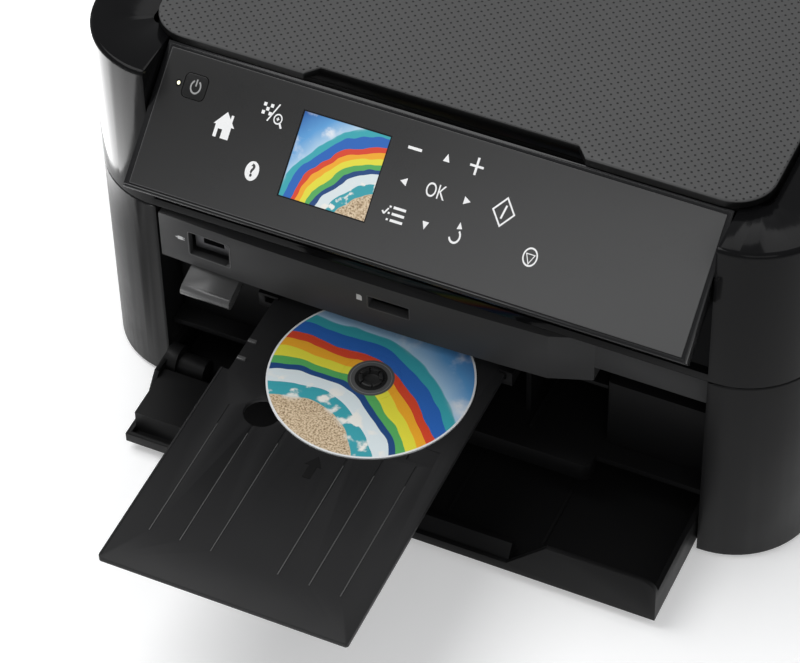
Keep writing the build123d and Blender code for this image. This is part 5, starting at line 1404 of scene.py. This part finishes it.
@dataclass
class Rear(Assembly):
    """Contact pins of the mains inlet."""

    pin_x: tuple[float, float] = (-182.3, -173.7)
    pin_y: tuple[float, float] = (267.0, 279.0)
    pin_z: float = 34.0
    pin_radius: float = 1.2

    def build(self) -> None:
        """Build the rear's pieces."""
        pins = Piece("inlet_pins", "printer_base", "steel", self.finishes["steel"])
        for x in self.pin_x:
            pins.rod((x, self.pin_y[0], self.pin_z), (x, self.pin_y[1], self.pin_z), self.pin_radius)
        pins.finish_at(ROW)


# ---- Studio ---------------------------------------------------------------------------------------
@dataclass
class Studio:
    """Pale floor, soft lamps, world and camera."""

    eye: tuple[float, float, float] = (0.5781, -1.32025, 1.6027)
    azimuth: float = 25.704
    elevation: float = 47.516
    roll: float = -1.617
    lens: float = 159.77
    floor_size: float = 12.0
    floor_tone: float = 0.82
    floor_glow: float = 0.32
    sky: tuple[float, float, float, float] = (0.93, 0.94, 0.96, 1.0)
    sky_strength: float = 0.5

    def build(self) -> None:
        """Build the studio."""
        self.floor()
        self.world()
        self.lamp("key_lamp", (-1.0, -0.2, 2.3), (0.0, 0.0, 0.1), (1.8, 1.6), 36)
        self.lamp("fill_lamp", (1.3, -2.0, 2.3), (0.0, 0.0, 0.15), (1.6, 1.6), 9)
        self.lamp("back_lamp", (0.3, 2.2, 2.6), (0.0, 0.1, 0.2), (2.4, 1.2), 14)
        glow = self.lamp("left_glow", (-0.50, -0.06, 0.002), (-0.50, -0.06, 1.0), (0.30, 0.7), 4)
        glow.visible_camera = False
        self.camera()
        bpy.context.scene.view_settings.view_transform = "Standard"

    def floor(self) -> None:
        """Plain pale floor, which shows itself white and keeps the printer's shadow."""
        mesh = bmesh.new()
        bmesh.ops.create_grid(mesh, x_segments=4, y_segments=4, size=self.floor_size / 2)
        data = bpy.data.meshes.new("floor")
        mesh.to_mesh(data)
        mesh.free()
        floor = add_object("floor", data)
        graph = Graph("floor_white")
        outputs = graph.node("ShaderNodeLightPath").socket.node.outputs
        camera, glossy, through = (
            Signal(graph, outputs[f"Is {kind} Ray"]) for kind in ("Camera", "Glossy", "Transmission"))
        seen = (camera + glossy + through).maths("MINIMUM", 1.0)
        glow = graph.mix((0.0, 0.0, 0.0), (self.floor_glow,) * 3, seen)
        graph.set(Base_Color=(self.floor_tone,) * 3, Roughness=0.9, Specular_IOR_Level=0.0,
                  Emission_Color=glow, Emission_Strength=1.0)
        data.materials.append(graph.material)

    def world(self) -> None:
        """Even pale surroundings."""
        world = bpy.data.worlds.new("studio")
        world.use_nodes = True
        background = world.node_tree.nodes["Background"]
        background.inputs["Color"].default_value = self.sky
        background.inputs["Strength"].default_value = self.sky_strength
        bpy.context.scene.world = world

    @staticmethod
    def lamp(name: str, place: tuple[float, float, float], target: tuple[float, float, float],
             size: tuple[float, float], power: float) -> bpy.types.Object:
        """Add a soft rectangular lamp.

        Args:
            name: Its name.
            place: Its middle.
            target: Point that it faces.
            size: Its width and height.
            power: Its power in watts.

        Returns:
            The lamp.
        """
        data = bpy.data.lights.new(name, "AREA")
        data.shape, data.size, data.size_y, data.energy = "RECTANGLE", *size, power
        lamp = add_object(name, data)
        aim = (Vector(target) - Vector(place)).to_track_quat("-Z", "Y")
        lamp.matrix_world = Matrix.Translation(place) @ aim.to_matrix().to_4x4()
        return lamp

    def camera(self) -> None:
        """Camera at the photograph's place and angle."""
        a, e = radians(self.azimuth), radians(self.elevation)
        back = Vector((sin(a) * cos(e), -cos(a) * cos(e), sin(e)))
        right = Vector((cos(a), sin(a), 0))
        up = back.cross(right)
        turn = Matrix((right, up, back)).transposed().to_4x4() @ Matrix.Rotation(radians(self.roll), 4, "Z")
        data = bpy.data.cameras.new("camera")
        data.lens = self.lens
        data.sensor_width = 36.0
        camera = add_object("camera", data)
        camera.matrix_world = Matrix.Translation(self.eye) @ turn
        bpy.context.scene.camera = camera


def main() -> None:
    """Dress the frame, add the pieces, and set up the studio."""
    logging.basicConfig(level=logging.INFO, format="%(message)s")
    dresser = FrameDresser()
    dresser.dress()
    for assembly in (ControlPanel, Bezel, DiscTray, Lid, Scanner, PrintEngine, Drawer, Rear):
        assembly(dresser.finishes).build()
    Studio().build()


if __name__ == "__main__":
    main()
